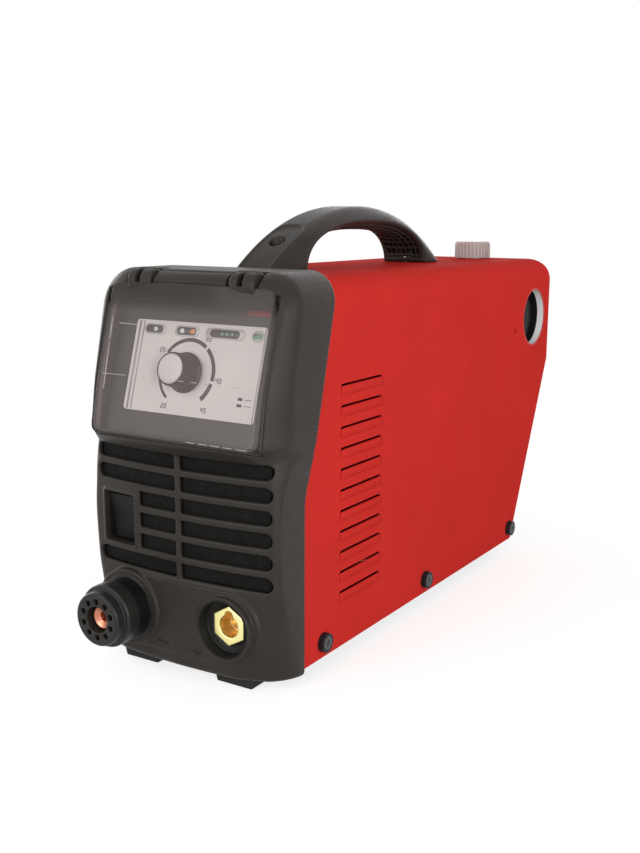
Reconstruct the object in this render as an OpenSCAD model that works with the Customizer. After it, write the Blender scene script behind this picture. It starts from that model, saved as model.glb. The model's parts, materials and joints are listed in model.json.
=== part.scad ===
// Portable plasma cutter: a sheet-metal case with a moulded front, a smoked flip cover over the
// controls, a carry handle, inverter parts inside and an air filter regulator at the rear.
// Millimetres, +Z up, front towards -Y. The origin is under the middle of its box, on the floor.
// Depths are measured from the lower front face, and front_y moves the whole unit to the origin.

/* [Case] */
// Outer width of the sheet-metal cover
case_w = 135; // [130:1:165]
// Height of the cover's top above the floor
case_h = 236; // [225:1:290]
// Depth from the front face to the cover's rear edge
case_len = 417; // [400:1:510]
// Thickness of the sheet metal
sheet = 1.5; // [1:0.1:2]
// Radius of the cover's long top edges
case_edge_r = 18; // [10:1:24]
// Radius of the cover's top rear corners, seen from the side
case_rear_r = 10; // [4:1:20]
// Height of the front feet
foot_h = 7; // [5:0.5:10]
// Height where the rear stops being upright
rear_kink_h = 152; // [145:1:170]
// Slope of the lower rear from upright, degrees
rear_rake = 25; // [15:1:27]
// Depth of the rear panel inside the cover's rear edge
rear_inset = 6; // [5:0.5:7]
// Clearance between sheets and mouldings that slide into each other
fit_gap = 0.15; // [0.1:0.05:0.4]

/* [Cover vents and screws] */
// Number of vent slots on each side
vent_count = 11; // [4:1:13]
// Length of a vent slot
vent_len = 50; // [30:1:60]
// Height of a vent slot
vent_h = 3.2; // [2:0.2:6]
// Distance from one vent slot to the next
vent_pitch = 12.9; // [8:0.1:14]
// Depth of the vents' front ends
vent_y = 75; // [72:1:90]
// Height of the lowest vent slot
vent_z = 42.5; // [38:0.5:50]
// Radius of a side screw's head
screw_head_r = 6; // [4:0.5:7]
// Height of a side screw's head
screw_head_h = 4; // [2:0.5:5]
// Radius of the screws' shanks
screw_r = 2.5; // [2:0.1:3]
// Height of the side screws above the floor
side_screw_z = 18; // [15:1:22]

/* [Front bezel] */
// Wall thickness of the moulding
bezel_wall = 3; // [2:0.5:4]
// Thickness of the dust filter behind the grille
filter_t = 3; // [2:0.5:5]
// How far the grille part stands out past the cover on each side
apron_flare = 1; // [0.5:0.5:3]
// How far the hood stands out past the cover on each side
hood_flare = 3.5; // [1:0.5:6]
// How far the hood's top stands above the cover
hood_rise = 4; // [2:0.5:6]
// Plan radius of the bowed front
face_r = 370; // [300:5:900]
// Depth of the bezel along its lower sides
bezel_depth = 35; // [30:1:42]
// Height where the bezel's rear edge starts to lean back
rear_edge_h = 112; // [90:1:130]
// Lean of the bezel's rear edge, degrees
rear_edge_lean = 14; // [8:1:18]
// Height of the hood's lip
lip_h = 150; // [145:1:160]
// Height of the lip's upright band
lip_band = 6; // [4:0.5:8]
// How far the lip stands in front of the grille
lip_reach = 10; // [5:0.5:14]
// Height where the grille face turns out to the lip
apron_h = 114; // [105:1:118]
// Lean of the hood, degrees
hood_lean = 16.7; // [12:0.1:20]
// Corner radius of the grille part in plan
apron_r = 12; // [6:1:16]
// Corner radius of the hood in plan
hood_r = 10; // [6:1:14]

/* [Grille] */
// Number of grille slots, one above another
slot_rows = 6; // [3:1:6]
// Height of a slot
slot_h = 8.6; // [5:0.2:9.6]
// Distance from one slot to the next
slot_pitch = 13; // [11:0.5:13]
// Height of the lowest slot's middle
slot_z = 67; // [66:1:70]
// Distance from the cover's side to the slots' ends
slot_margin = 5.5; // [4:0.5:12]
// Width of the upright rib between the slots
rib_w = 4; // [3:0.5:8]

/* [Flip cover] */
// Wall thickness of the cover
cover_t = 2.5; // [1.5:0.1:3]
// Distance from the hood's sides to the cover's edge
cover_margin = 9.5; // [9:0.5:14]
// Depth of the cover's rim
cover_rim = 9; // [5:0.5:12]
// Gap round the cover
cover_gap = 0.5; // [0.3:0.1:1]
// Radius of the hood's rolled top edge, round the hinge axis
nose_r = 7; // [6.5:0.5:9]
// How far the flip cover reaches down past the hood's lower edge
well_foot = 4.5; // [2:0.5:5]
// Width of a hinge ear
ear_w = 24; // [15:1:30]
// Distance of the hinge ears from the middle
ear_x = 37; // [30:1:42]
// Radius of an ear's barrel
barrel_r = 5; // [4:0.5:6]
// Radius of a hinge pin
pin_r = 1.5; // [1:0.1:2]
// Length of a pin's seat in the hood
pin_seat = 4; // [3:0.5:6]
// Running clearance of pins and shafts in their bores
run_gap = 0.05; // [0.02:0.01:0.1]

/* [Controls] */
// Depth of the control panel behind the hood's face
panel_depth = 20; // [19:0.5:22]
// Thickness of the control panel
panel_t = 2; // [1.5:0.5:3]
// Width of the label
label_w = 96; // [80:1:110]
// Height of the label
label_h = 55; // [45:1:58]
// Height of the label's lower edge on the panel
label_u = 12.7; // [8:0.1:14]
// Thickness of the label
label_t = 0.5; // [0.3:0.1:1]
// Sideways place of the current knob
knob_x = -4.5; // [-15:0.5:15]
// Height of the current knob on the panel
knob_u = 37.8; // [30:0.1:42]
// Radius of the knob's skirt
knob_r = 13; // [10:0.5:15]
// Reach of the knob in front of the panel
knob_reach = 16; // [12:0.5:17]
// Radius of the knob's shaft
shaft_r = 3; // [2:0.5:4]
// Widths of the indicator lamps, from left to right
lamp_w = [16, 18, 28, 8];
// Sideways places of the indicator lamps
lamp_x = [-33.3, -9, 18.9, 42];
// Height of a lamp
lamp_h = 6; // [3:0.5:7]
// Height of the row of lamps on the panel
lamp_u = 62.3; // [60:0.1:63]
// Depth of the control board behind the panel
board_gap = 12; // [10:1:16]

/* [Sockets and switch] */
// Distance of the two sockets from the middle
socket_x = 35.5; // [33:0.5:40]
// Height of the sockets
socket_z = 38; // [36:0.5:40]
// Radius of the flat pads that the sockets sit on
pad_r = 23; // [22:0.5:24]
// Reach of the torch socket in front of its pad
torch_reach = 32; // [25:1:40]
// Radius of the torch socket's front sleeve
torch_front_r = 16.3; // [15:0.1:18]
// Radius of the torch socket's middle ring
torch_ring_r = 19.5; // [18:0.1:20]
// Radius of the torch socket's flange
torch_flange_r = 20.5; // [20:0.1:22]
// Radius of the torch socket's barrel behind the panel
torch_barrel_r = 14; // [12:0.5:15]
// Number of contact pins in the torch socket
torch_pin_count = 10; // [4:1:12]
// Radius of the ring of contact pins
torch_pin_pcr = 11; // [9:0.5:12]
// Radius of a contact pin's hole
torch_pin_hole_r = 1.7; // [1.2:0.1:2]
// Radius of the torch socket's centre hole
torch_centre_r = 5; // [4:0.5:6]
// Bore radius of the centre contact
torch_bore_r = 2.6; // [2:0.1:3]
// Radius of the earth socket's black ring
earth_ring_r = 17.5; // [16:0.5:20]
// Corner radius of the earth socket's brass hex
earth_hex_r = 12; // [11:0.5:13]
// Bore radius of the earth socket
earth_bore_r = 6.6; // [5:0.1:7]
// Width of the key slot in the earth socket
earth_key_w = 3.4; // [2:0.2:5]
// Reach of the key slot from the bore's axis
earth_key_r = 9.2; // [8:0.1:9.6]
// Width of the switch opening
switch_w = 26.5; // [22:0.5:28]
// Height of the switch opening
switch_h = 34.5; // [30:0.5:36]
// Distance of the switch from the middle
switch_x = 45; // [42:0.5:46]
// Tilt of the rocker to each side, degrees
rocker_tilt = 9; // [5:0.5:11]

/* [Handle] */
// Length of the handle's foot along the case
handle_len = 238; // [220:1:260]
// Width of the handle
handle_w = 36; // [28:1:44]
// Rise of the handle above the cover
handle_rise = 41.5; // [40:0.5:60]
// Radius of the handle's arch
handle_r = 190; // [188:1:300]
// Length of the hand opening
grip_len = 158; // [120:1:160]
// Height of the hand opening
grip_h = 26.5; // [22:0.5:28]
// Radius of the hand opening's corners
grip_r = 30; // [20:1:40]
// Depth of the handle's middle
handle_y = 194; // [190:1:200]
// Depth of the middle of the hand opening
grip_y = 196; // [192:1:198]

/* [Air supply] */
// Depth of the gauge and regulator axis from the cover's rear edge
reg_back = 32.5; // [32:0.5:40]
// Height of the gauge axis
gauge_z = 189.5; // [185:0.5:192]
// Radius of the round window in the cover
window_r = 24.4; // [22:0.1:25]
// Wall of the window's collar
collar_t = 2; // [1.5:0.1:3]
// Depth of the gauge's lens behind the cover's side
gauge_set = 12; // [8:0.5:16]
// Thickness of the gauge's case
gauge_t = 16; // [12:0.5:20]
// Side of the regulator's square body
reg_w = 40; // [34:1:40]
// Height of the regulator's body
reg_h = 44; // [36:1:46]
// Radius of the regulator's knob
reg_knob_r = 14.7; // [12:0.1:16]
// Height of the regulator's knob above the cover
reg_knob_rise = 14; // [10:0.5:20]
// Lift of the regulator's knob to unlock it
reg_knob_lift = 3; // [2:0.5:4]
// Radius of the filter bowl
bowl_r = 14.5; // [12:0.5:15]
// Outer radius of the air hoses
hose_r = 6; // [5:0.5:7]
// Bore radius of the air hoses
hose_bore_r = 4; // [3:0.5:4.5]
// Bend radius of the air hoses
hose_bend_r = 20; // [16:1:24]
// Depth of the solenoid valve
valve_y = 72; // [70:1:80]
// Reach of the rear fittings behind the rear panel
fitting_reach = 24; // [18:1:30]
// Bore radius of the cable gland
gland_bore_r = 5; // [3.5:0.5:6]
// Bore radius of the air inlet
inlet_bore_r = 3; // [2:0.5:4]

/* [Power parts] */
// Side of the fan's square frame
fan_w = 80; // [70:1:92]
// Thickness of the fan
fan_t = 25; // [20:1:30]
// Distance of the fan's axis below the rear kink, along the panel
fan_drop = 76; // [70:1:80]
// Number of fan blades
fan_blades = 7; // [5:1:9]
// Depth of the power board's front edge
board_y = 122; // [118:1:130]
// Length of the power board
board_len = 186; // [170:1:200]
// Width of the power board
board_w = 116; // [104:1:118]
// Height of the power board above the base tray
board_lift = 15; // [10:1:20]

/* [Hidden] */
$fn = 64;
half_w = case_w / 2;
inner_half = half_w - sheet;
// Widths and tops of the bezel's tongue, which slides into the cover
tongue_t = 2.5;
tongue_half = inner_half - fit_gap;
tongue_top = case_h - sheet - fit_gap;
cavity_half = tongue_half - tongue_t;
cavity_top = tongue_top - tongue_t;
hood_half = half_w + hood_flare;
apron_half = half_w + apron_flare;
bezel_top = case_h + hood_rise;
rear_top_y = bezel_depth + (bezel_top - rear_edge_h) * tan(rear_edge_lean);
bow_rear = 100;
bow_angle = asin((hood_half + 6) / (face_r - bow_rear));
// Heights of the tray's floor and the cover's lower edge
tray_z = foot_h + bezel_wall;
cover_z = foot_h + 1;
rear_y = case_len - rear_inset;
// Hinge axis of the flip cover, in the unit and in the hood's leaning frame
hinge_z = bezel_top - nose_r;
hinge_y = -lip_reach + (hinge_z - lip_h) * tan(hood_lean) + nose_r + 1;
hinge_v = (hinge_y + lip_reach) * cos(hood_lean) - (hinge_z - lip_h) * sin(hood_lean);
hinge_u = (hinge_y + lip_reach) * sin(hood_lean) + (hinge_z - lip_h) * cos(hood_lean);
well_drop = nose_r + 2.4;
well_top_u = hinge_u - well_drop;
sweep_r = nose_r + 3.5;
web_v = hinge_v - sqrt(pow(sweep_r - 0.4, 2) - pow(well_drop, 2));
cover_half = hood_half - cover_margin;
well_half = cover_half + cover_gap;
panel_top_u = well_top_u + 2;
panel_foot_u = -2;
shelf = well_foot + 4;
notch_w = ear_w + 1;
notch_r = sweep_r + 0.5;
// Air parts: the regulator stands on the gauge's axis
reg_y = case_len - reg_back;
lens_t = 1.5;
gauge_x = half_w - gauge_set - lens_t - gauge_t;
lead_r = 5;
valve_w = 30;
valve_limit = socket_x - valve_w / 2 - lead_r - 2;
reg_x = min(gauge_x - 8 - reg_w / 2, valve_limit);
stem_len = gauge_x - reg_x - reg_w / 2;
gauge_r = window_r - collar_t - 1;
pad_lift = 2;
pad_depth = bezel_wall + bow(socket_x + pad_r) - bow(socket_x) + 0.5;
switch_z = slot_z + 1.85 * slot_pitch;
frame_y = 0.6;
frame_rear = bezel_wall + 5;
board_z = tray_z + sheet + board_lift;
board_t = 1.6;
board_top = board_z + board_t;
valve_x = reg_x;
valve_h = 26;
gland_x = -40;
handle_z = case_h + handle_rise - handle_r;
handle_screw_y = grip_len / 2 + 9.5;
handle_seat = 3;
front_y = -((rear_y + fitting_reach) - (torch_reach + pad_lift - bow(socket_x))) / 2;
charcoal = [0.2, 0.19, 0.18];
steel = [0.72, 0.73, 0.75];
brass = [0.85, 0.7, 0.35];
copper = [0.78, 0.45, 0.3];
case_red = [0.77, 0.16, 0.15];
black = [0.1, 0.1, 0.1];

// How far the bowed front lies behind its middle, at a distance x from the middle
function bow(x) = face_r - sqrt(pow(face_r, 2) - pow(x, 2));

// Depth and height of a point in the hood's leaning frame: v goes inwards and u up the hood
function hood_point(v, u) = [
    -lip_reach + v * cos(hood_lean) + u * sin(hood_lean),
    lip_h - v * sin(hood_lean) + u * cos(hood_lean)];

// Side outline of the front, moved inwards by inset, from height low to height top
function face_points(inset, low, top) = [
    [bow_rear, low],
    [inset, low],
    [inset, apron_h],
    [inset - lip_reach, lip_h - lip_band],
    [inset - lip_reach, lip_h],
    [inset - lip_reach + (top - lip_h) * tan(hood_lean), top],
    [bow_rear, top]];

module at_front() {
    translate([0, front_y, 0]) children();
}

// Extrudes an outline of depth and height across the unit
module across(w) {
    rotate([90, 0, 90]) linear_extrude(w, center = true) children();
}

// Extrudes an outline of width and height from depth y0 to depth y1
module along(y0, y1) {
    translate([0, y1, 0]) rotate([90, 0, 0]) linear_extrude(y1 - y0) children();
}

// Turns an outline of depth and height about the bowed front's upright axis
module bowed(points) {
    translate([0, face_r, 0])
        rotate([0, 0, -90 - bow_angle])
            rotate_extrude(angle = 2 * bow_angle, $fn = 360)
                polygon([for (p = points) [face_r - p[0], p[1]]]);
}

module on_hood() {
    translate([0, -lip_reach, lip_h]) rotate([-hood_lean, 0, 0]) children();
}

// A spot on the control panel, with +Z towards the viewer
module on_panel(x, u) {
    on_hood() translate([x, panel_depth, u]) rotate([90, 0, 0]) children();
}

// A spot on the front, with +Z towards the viewer and +Y up
module facing_front(x, z, y = 0) {
    translate([x, y, z]) rotate([90, 0, 0]) children();
}

// A spot on the rear panel's upright part, with +Z towards the rear
module facing_rear(x, z) {
    translate([x, rear_y, z]) rotate([-90, 0, 0]) children();
}

// The raked part of the rear panel: y outwards from its outer face, z up the slope from the kink
module on_rake() {
    translate([0, rear_y, rear_kink_h]) rotate([-rear_rake, 0, 0]) children();
}

// The fan's axis, with +Z outwards from the rear panel's inner face
module at_fan() {
    on_rake() translate([0, -sheet, -fan_drop]) rotate([-90, 0, 0]) children();
}

// A cylinder across the unit at the flip cover's hinge axis
module hinge_rod(r, len, x = 0) {
    translate([x - len / 2, hinge_y, hinge_z]) rotate([0, 90, 0]) cylinder(r = r, h = len);
}

// The regulator's upright axis, from the gauge's height
module at_regulator() {
    translate([reg_x, reg_y, gauge_z]) children();
}

// The gauge's axis, with +Z out through the window
module at_gauge() {
    translate([gauge_x, reg_y, gauge_z]) rotate([0, 90, 0]) children();
}

module slot_outline(w, h) {
    square([w - h, h], center = true);
    for (s = [-1, 1]) translate([s * (w - h) / 2, 0]) circle(r = h / 2);
}

module rounded_outline(w, h, r) {
    square([w - 2 * r, h], center = true);
    square([w, h - 2 * r], center = true);
    for (x = [-1, 1], y = [-1, 1]) translate([x * (w / 2 - r), y * (h / 2 - r)]) circle(r = r);
}

// Upright sides and a top with rounded corners, from height low
module arch_outline(half, top, r, low) {
    translate([-half, low]) square([2 * half, top - r - low]);
    translate([r - half, low]) square([2 * (half - r), top - low]);
    for (s = [-1, 1]) translate([s * (half - r), top - r]) circle(r = r);
}

// Plan of the bowed front, with corners that run smoothly into the front and the sides
module bowed_plan(half, front, r) {
    corner_y = front + face_r - sqrt(pow(face_r - r, 2) - pow(half - r, 2));
    touch_x = (half - r) * face_r / (face_r - r);
    translate([-half, corner_y]) square([2 * half, 150]);
    intersection() {
        translate([-touch_x, front]) square([2 * touch_x, 100]);
        translate([0, front + face_r]) circle(r = face_r, $fn = 360);
    }
    for (s = [-1, 1]) translate([s * (half - r), corner_y]) circle(r = r);
}

module hex(across_corners_r, h) {
    cylinder(r = across_corners_r, h = h, $fn = 6);
}

// A hose: straight length a up the Y axis, a quarter bend, then straight length b along +X
module bent_hose(a, b) {
    rotate([-90, 0, 0]) hose_straight(a);
    translate([hose_bend_r, a, 0]) rotate([0, 0, 90])
        rotate_extrude(angle = 90) translate([hose_bend_r, 0]) hose_ring();
    translate([hose_bend_r, a + hose_bend_r, 0]) rotate([0, 90, 0]) hose_straight(b);
}

module hose_ring() {
    difference() {
        circle(r = hose_r);
        circle(r = hose_bore_r + run_gap);
    }
}

module hose_straight(len) {
    linear_extrude(len) hose_ring();
}

// Base tray: floor, side flanges and a raked rear flange
module base_tray() color(steel) at_front() {
    tray_front = bezel_depth - 15;
    flange_y = bezel_depth + 8;
    difference() {
        union() {
            translate([-tongue_half, tray_front + 15, tray_z]) cube([2 * tongue_half, case_len, sheet]);
            translate([-cavity_half + fit_gap, tray_front, tray_z])
                cube([2 * (cavity_half - fit_gap), 20, sheet]);
            for (s = [-1, 1]) translate([s * (tongue_half - sheet / 2) - sheet / 2, flange_y, tray_z])
                cube([sheet, case_len, 20]);
        }
        on_rake() translate([-case_w, -sheet, -case_h]) cube([2 * case_w, case_len, 2 * case_h]);
        side_screw_holes();
        translate([-case_w, bezel_depth - 5, tray_z - 1])
            cube([case_w - cavity_half + fit_gap, 13, 40]);
        translate([cavity_half - fit_gap, bezel_depth - 5, tray_z - 1])
            cube([case_w - cavity_half, 13, 40]);
    }
    difference() {
        on_rake() translate([-inner_half + 12, -2 * sheet, -(rear_kink_h - tray_z) / cos(rear_rake) + 0.8])
            cube([2 * inner_half - 24, sheet, 16]);
        rear_screw_holes();
    }
}

// Depths of the side screws: behind the bezel, midway, and at the lower rear corner
side_screw_y = [bezel_depth + 21, 192, case_len - 72];

module side_screw_holes() {
    for (y = side_screw_y) translate([-case_w, y, side_screw_z]) rotate([0, 90, 0])
        cylinder(r = screw_r + fit_gap, h = 2 * case_w);
}

// Side view of the cover: its front edge follows the bezel, its lower rear is raked
module cover_side() {
    gap = 0.3;
    foot_y = case_len - (rear_kink_h - cover_z) * tan(rear_rake);
    difference() {
        polygon([
            [bezel_depth + gap, cover_z],
            [foot_y, cover_z],
            [case_len, rear_kink_h],
            [case_len, case_h],
            [rear_top_y + gap, case_h],
            [rear_top_y + gap - hood_rise * tan(rear_edge_lean), case_h],
            [bezel_depth + gap, rear_edge_h]]);
        difference() {
            translate([case_len - case_rear_r, case_h - case_rear_r]) square(case_rear_r + 1);
            translate([case_len - case_rear_r, case_h - case_rear_r]) circle(r = case_rear_r);
        }
    }
}

// Sheet-metal cover: two sides and a top, with vents, window and holes
module case_cover() color(case_red) at_front() {
    difference() {
        intersection() {
            along(0, case_len + 10) difference() {
                arch_outline(half_w, case_h, case_edge_r, cover_z);
                arch_outline(inner_half, case_h - sheet, case_edge_r - sheet, cover_z - 1);
            }
            across(2 * case_w) cover_side();
        }
        for (i = [0 : vent_count - 1])
            translate([-case_w, vent_y + vent_len / 2, vent_z + i * vent_pitch])
                rotate([90, 0, 90]) linear_extrude(2 * case_w) slot_outline(vent_len, vent_h);
        side_screw_holes();
        translate([0, reg_y, gauge_z]) rotate([0, 90, 0]) cylinder(r = window_r, h = case_w);
        translate([0, reg_y - 40, gauge_z - 8.5]) rotate([0, 90, 0]) cylinder(r = 2, h = case_w);
        translate([reg_x, reg_y, case_h - 20]) cylinder(r = collar_r + 1.5, h = 40);
        for (s = [-1, 1]) translate([0, grip_y + s * handle_screw_y, case_h - 20])
            cylinder(r = screw_r + fit_gap, h = 40);
    }
    difference() {
        for (s = [-1, 1])
            translate([s * (inner_half - 5) - 5.5, rear_y - 2 * sheet, case_h - 30])
                cube([11, sheet, 12]);
        rear_screw_holes();
    }
}

// Rear panel: one bent sheet, upright above the kink and raked below it
module rear_panel() color(steel) at_front() {
    foot_y = rear_y - (rear_kink_h - tray_z) * tan(rear_rake);
    difference() {
        intersection() {
            across(2 * tongue_half) polygon([
                [rear_y, case_h],
                [rear_y, rear_kink_h],
                [foot_y, tray_z],
                [foot_y - sheet * cos(rear_rake), tray_z + sheet * sin(rear_rake)],
                [rear_y - sheet, rear_kink_h + sheet * tan(rear_rake / 2)],
                [rear_y - sheet, case_h]]);
            along(0, 2 * case_len)
                arch_outline(tongue_half, tongue_top, case_edge_r - sheet - fit_gap, 0);
        }
        at_fan() translate([0, 0, -20]) cylinder(r = fan_w / 2 - 2, h = 40);
        facing_rear(gland_x, gauge_z) translate([0, 0, -20]) cylinder(r = 10 + fit_gap, h = 40);
        facing_rear(reg_x, gauge_z) translate([0, 0, -20]) cylinder(r = 6.5 + fit_gap, h = 40);
        rear_screw_holes();
        side_screw_holes();
        fan_corners() translate([0, 0, -20]) cylinder(r = 2 + fit_gap, h = 40);
    }
}

// Spots of the rear panel's own screws, with +Z outwards
module rear_screw_spots() {
    for (s = [-1, 1]) {
        facing_rear(s * (inner_half - 6), case_h - 24) children();
        on_rake() translate([s * (inner_half - 18), 0, -(rear_kink_h - tray_z) / cos(rear_rake) + 9])
            rotate([-90, 0, 0]) children();
    }
}

module rear_screw_holes() {
    rear_screw_spots() translate([0, 0, -20]) cylinder(r = 2 + fit_gap, h = 40);
}

module fan_corners() {
    for (x = [-1, 1], y = [-1, 1])
        at_fan() translate([x * (fan_w / 2 - 4.3), y * (fan_w / 2 - 4.3), 0]) children();
}

// Side view of the bezel: below the well, and the rolled nose with the roof behind it
module bezel_side() {
    intersection() {
        polygon([
            [-60, foot_h],
            [bezel_depth, foot_h],
            [bezel_depth, rear_edge_h],
            [rear_top_y, bezel_top],
            [-60, bezel_top]]);
        union() {
            polygon([[-80, 0], [200, 0], hood_point(200, well_top_u), hood_point(-60, well_top_u)]);
            translate([hinge_y, hinge_z]) circle(r = nose_r);
            polygon([
                hood_point(web_v, well_top_u - 1),
                hood_point(hinge_v - 0.7 * nose_r, hinge_u - 0.7 * nose_r),
                hood_point(hinge_v, hinge_u),
                hood_point(hinge_v + 40, hinge_u),
                hood_point(hinge_v + 40, well_top_u - 1)]);
            translate([hinge_y, lip_h]) square([200, bezel_top - lip_h]);
        }
    }
}

// The bezel before it is hollowed
module bezel_block() {
    split_h = apron_h + 8;
    intersection() {
        bowed(face_points(0, foot_h, bezel_top));
        across(2 * hood_half + 20) bezel_side();
        along(-60, 150) arch_outline(hood_half, bezel_top, case_edge_r + hood_flare, 0);
        union() {
            linear_extrude(split_h) bowed_plan(apron_half, 0, apron_r);
            translate([0, 0, split_h]) linear_extrude(bezel_top) bowed_plan(hood_half, -lip_reach, hood_r);
        }
    }
}

// Room behind the grille, under the hood's shelf
module grille_cavity() {
    intersection() {
        bowed(face_points(bezel_wall, tray_z, lip_h));
        translate([-cavity_half, -60, 0]) cube([2 * cavity_half, 200, case_h]);
        on_hood() translate([-case_w, -100, -shelf - case_h]) cube([2 * case_w, 300, case_h]);
    }
}

// Room behind the control panel, and under the hood's roof
module panel_cavity() {
    roof_y = hinge_y + notch_r + 1;
    panel_top = hood_point(panel_depth, panel_top_u + 0.5);
    across(2 * cavity_half) polygon([
        hood_point(panel_depth, panel_foot_u - 0.3),
        panel_top,
        [roof_y, panel_top[1]],
        [roof_y, cavity_top],
        [150, cavity_top],
        hood_point(150, panel_foot_u - 0.3)]);
}

// Grille slots: full rows, shortened on the left where the switch stands
module grille_slots() {
    half = half_w - slot_margin;
    for (i = [0 : slot_rows - 1]) {
        z = slot_z + i * slot_pitch;
        near_switch = abs(z - switch_z) < (switch_h + slot_h) / 2 + 1;
        left = near_switch ? switch_x - switch_w / 2 - 4 : half;
        along(-30, 12) translate([(half + rib_w / 2) / 2, z]) slot_outline(half - rib_w / 2, slot_h);
        along(-30, 12) translate([-(left + rib_w / 2) / 2, z]) slot_outline(left - rib_w / 2, slot_h);
    }
}

// Pads, ridge, switch frame and polarity marks that stand on the grille face
module apron_details() {
    for (s = [-1, 1])
        facing_front(s * socket_x, socket_z, bow(socket_x)) translate([0, 0, -pad_depth])
            cylinder(r = pad_r, h = pad_depth + pad_lift);
    along(-1, 4) translate([0, socket_z + pad_r - 3]) square([2 * socket_x - 20, 2], center = true);
    along(-0.8, 2) translate([-8, socket_z - 17]) square([9, 2], center = true);
    along(-0.8, 2) translate([8, socket_z - 17]) square([8, 2], center = true);
    along(-0.8, 2) translate([8, socket_z - 17]) square([2, 8], center = true);
    along(frame_y, frame_rear) translate([-switch_x, switch_z])
        rounded_outline(switch_w + 4, switch_h + 4, 2);
}

module socket_holes() {
    facing_front(-socket_x, socket_z, 40) cylinder(r = torch_barrel_r + fit_gap, h = 80);
    facing_front(socket_x, socket_z, 40) cylinder(r = 10 + fit_gap, h = 80);
    along(-30, 40) translate([-switch_x, switch_z]) square([switch_w, switch_h], center = true);
}

// The tongue that slides into the cover, and a small tab over the cover's lower front corners
module bezel_tongue() {
    intersection() {
        along(0, 150) difference() {
            arch_outline(tongue_half, tongue_top, case_edge_r - sheet - fit_gap, tray_z + 3);
            arch_outline(cavity_half, cavity_top, case_edge_r - sheet - fit_gap - tongue_t, 0);
        }
        across(2 * case_w) polygon([
            [bezel_depth - 4, cover_z],
            [bezel_depth + 6, cover_z],
            [bezel_depth + 6, rear_edge_h],
            [rear_top_y + 6, bezel_top],
            [rear_top_y - 4, bezel_top],
            [bezel_depth - 4, rear_edge_h]]);
    }
    for (s = [-1, 1])
        translate([s * (half_w + 0.9) - 0.8, bezel_depth - 3, side_screw_z - 5]) cube([1.6, 10, 6]);
}

// Front bezel: grille face, hood with the well of the controls, hinge notches
module front_bezel() color(charcoal) at_front() {
    difference() {
        union() {
            difference() {
                bezel_block();
                grille_cavity();
                panel_cavity();
                on_hood() translate([-well_half, -60, -well_foot])
                    cube([2 * well_half, 61 + panel_depth, well_foot + well_top_u + run_gap]);
                grille_slots();
            }
            apron_details();
        }
        socket_holes();
        for (s = [-1, 1]) hinge_rod(notch_r, notch_w, s * ear_x);
        for (s = [-1, 1]) hinge_rod(pin_r, notch_w + 2 * pin_seat, s * ear_x);
    }
    bezel_tongue();
}

// Foam dust filter behind the grille, clear of the switch
module dust_filter() color(black) at_front() {
    half = cavity_half - 2;
    low = slot_z - slot_h / 2 - 0.5;
    tall = (slot_rows - 1) * slot_pitch + slot_h + 1;
    front = bezel_wall + fit_gap;
    switch_gap = switch_h / 2 + 2;
    difference() {
        intersection() {
            bowed(face_points(front, tray_z, lip_h));
            translate([-half, -60, low]) cube([2 * half, 120, tall]);
        }
        bowed(face_points(front + filter_t, foot_h, lip_h + 1));
        translate([-half - 1, -60, switch_z - switch_gap])
            cube([half + 3 - switch_x + switch_w / 2, 120, 2 * switch_gap]);
    }
}

module front_feet() color(black) at_front() {
    for (s = [-1, 1]) translate([s * socket_x, 0, 0]) along(9, 29)
        polygon([[-12.5, 0], [12.5, 0], [14.5, foot_h], [-14.5, foot_h]]);
}

module rear_feet() color(black) at_front() {
    for (s = [-1, 1]) translate([s * (half_w - 22), case_len - 100, 0]) difference() {
        cylinder(r1 = 8, r2 = 9, h = tray_z);
        translate([0, 0, -1]) cylinder(r = 4, h = 4);
    }
}

// Carry handle: an arch with a hand opening and a screw seat in each foot
module carry_handle() color(charcoal) at_front() {
    difference() {
        across(handle_w) difference() {
            intersection() {
                translate([handle_y, handle_z]) circle(r = handle_r, $fn = 240);
                translate([handle_y - handle_len / 2, case_h]) square([handle_len, 2 * handle_rise]);
            }
            translate([grip_y, case_h + grip_h - 50]) rounded_outline(grip_len, 100, grip_r);
        }
        for (s = [-1, 1]) translate([0, grip_y + s * handle_screw_y, case_h - 1]) {
            cylinder(r = screw_r + fit_gap, h = 60);
            translate([0, 0, 1 + handle_seat]) cylinder(r = 5.5, h = 60);
        }
    }
}

// Handle screws with their nuts under the cover
module handle_screws() color(steel) at_front() {
    for (s = [-1, 1]) translate([0, grip_y + s * handle_screw_y, case_h]) {
        translate([0, 0, handle_seat]) difference() {
            cylinder(r = 5, h = 3.5);
            translate([0, 0, 1.5]) hex(2.5, 3);
        }
        translate([0, 0, -sheet - 7]) cylinder(r = screw_r, h = sheet + 7.5 + handle_seat);
        translate([0, 0, -sheet - 5]) hex(5, 5);
    }
}

// Screws of the cover's sides and of the rear panel
module case_screws() color(black) at_front() {
    for (s = [-1, 1], y = side_screw_y)
        translate([s * half_w, y, side_screw_z]) rotate([0, s * 90, 0]) {
            difference() {
                cylinder(r = screw_head_r, h = screw_head_h);
                translate([0, 0, screw_head_h - 2]) hex(2.5, 3);
            }
            translate([0, 0, -10]) cylinder(r = screw_r, h = 11);
        }
    rear_screw_spots() {
        cylinder(r = 3.8, h = 2.4);
        translate([0, 0, -2 * sheet]) cylinder(r = 2, h = 2 * sheet + 1);
    }
    fan_corners() {
        translate([0, 0, sheet + 2.4]) cylinder(r = 3.6, h = 2.4);
        translate([0, 0, -5]) cylinder(r = 2, h = 5 + sheet + 3);
    }
}

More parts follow.
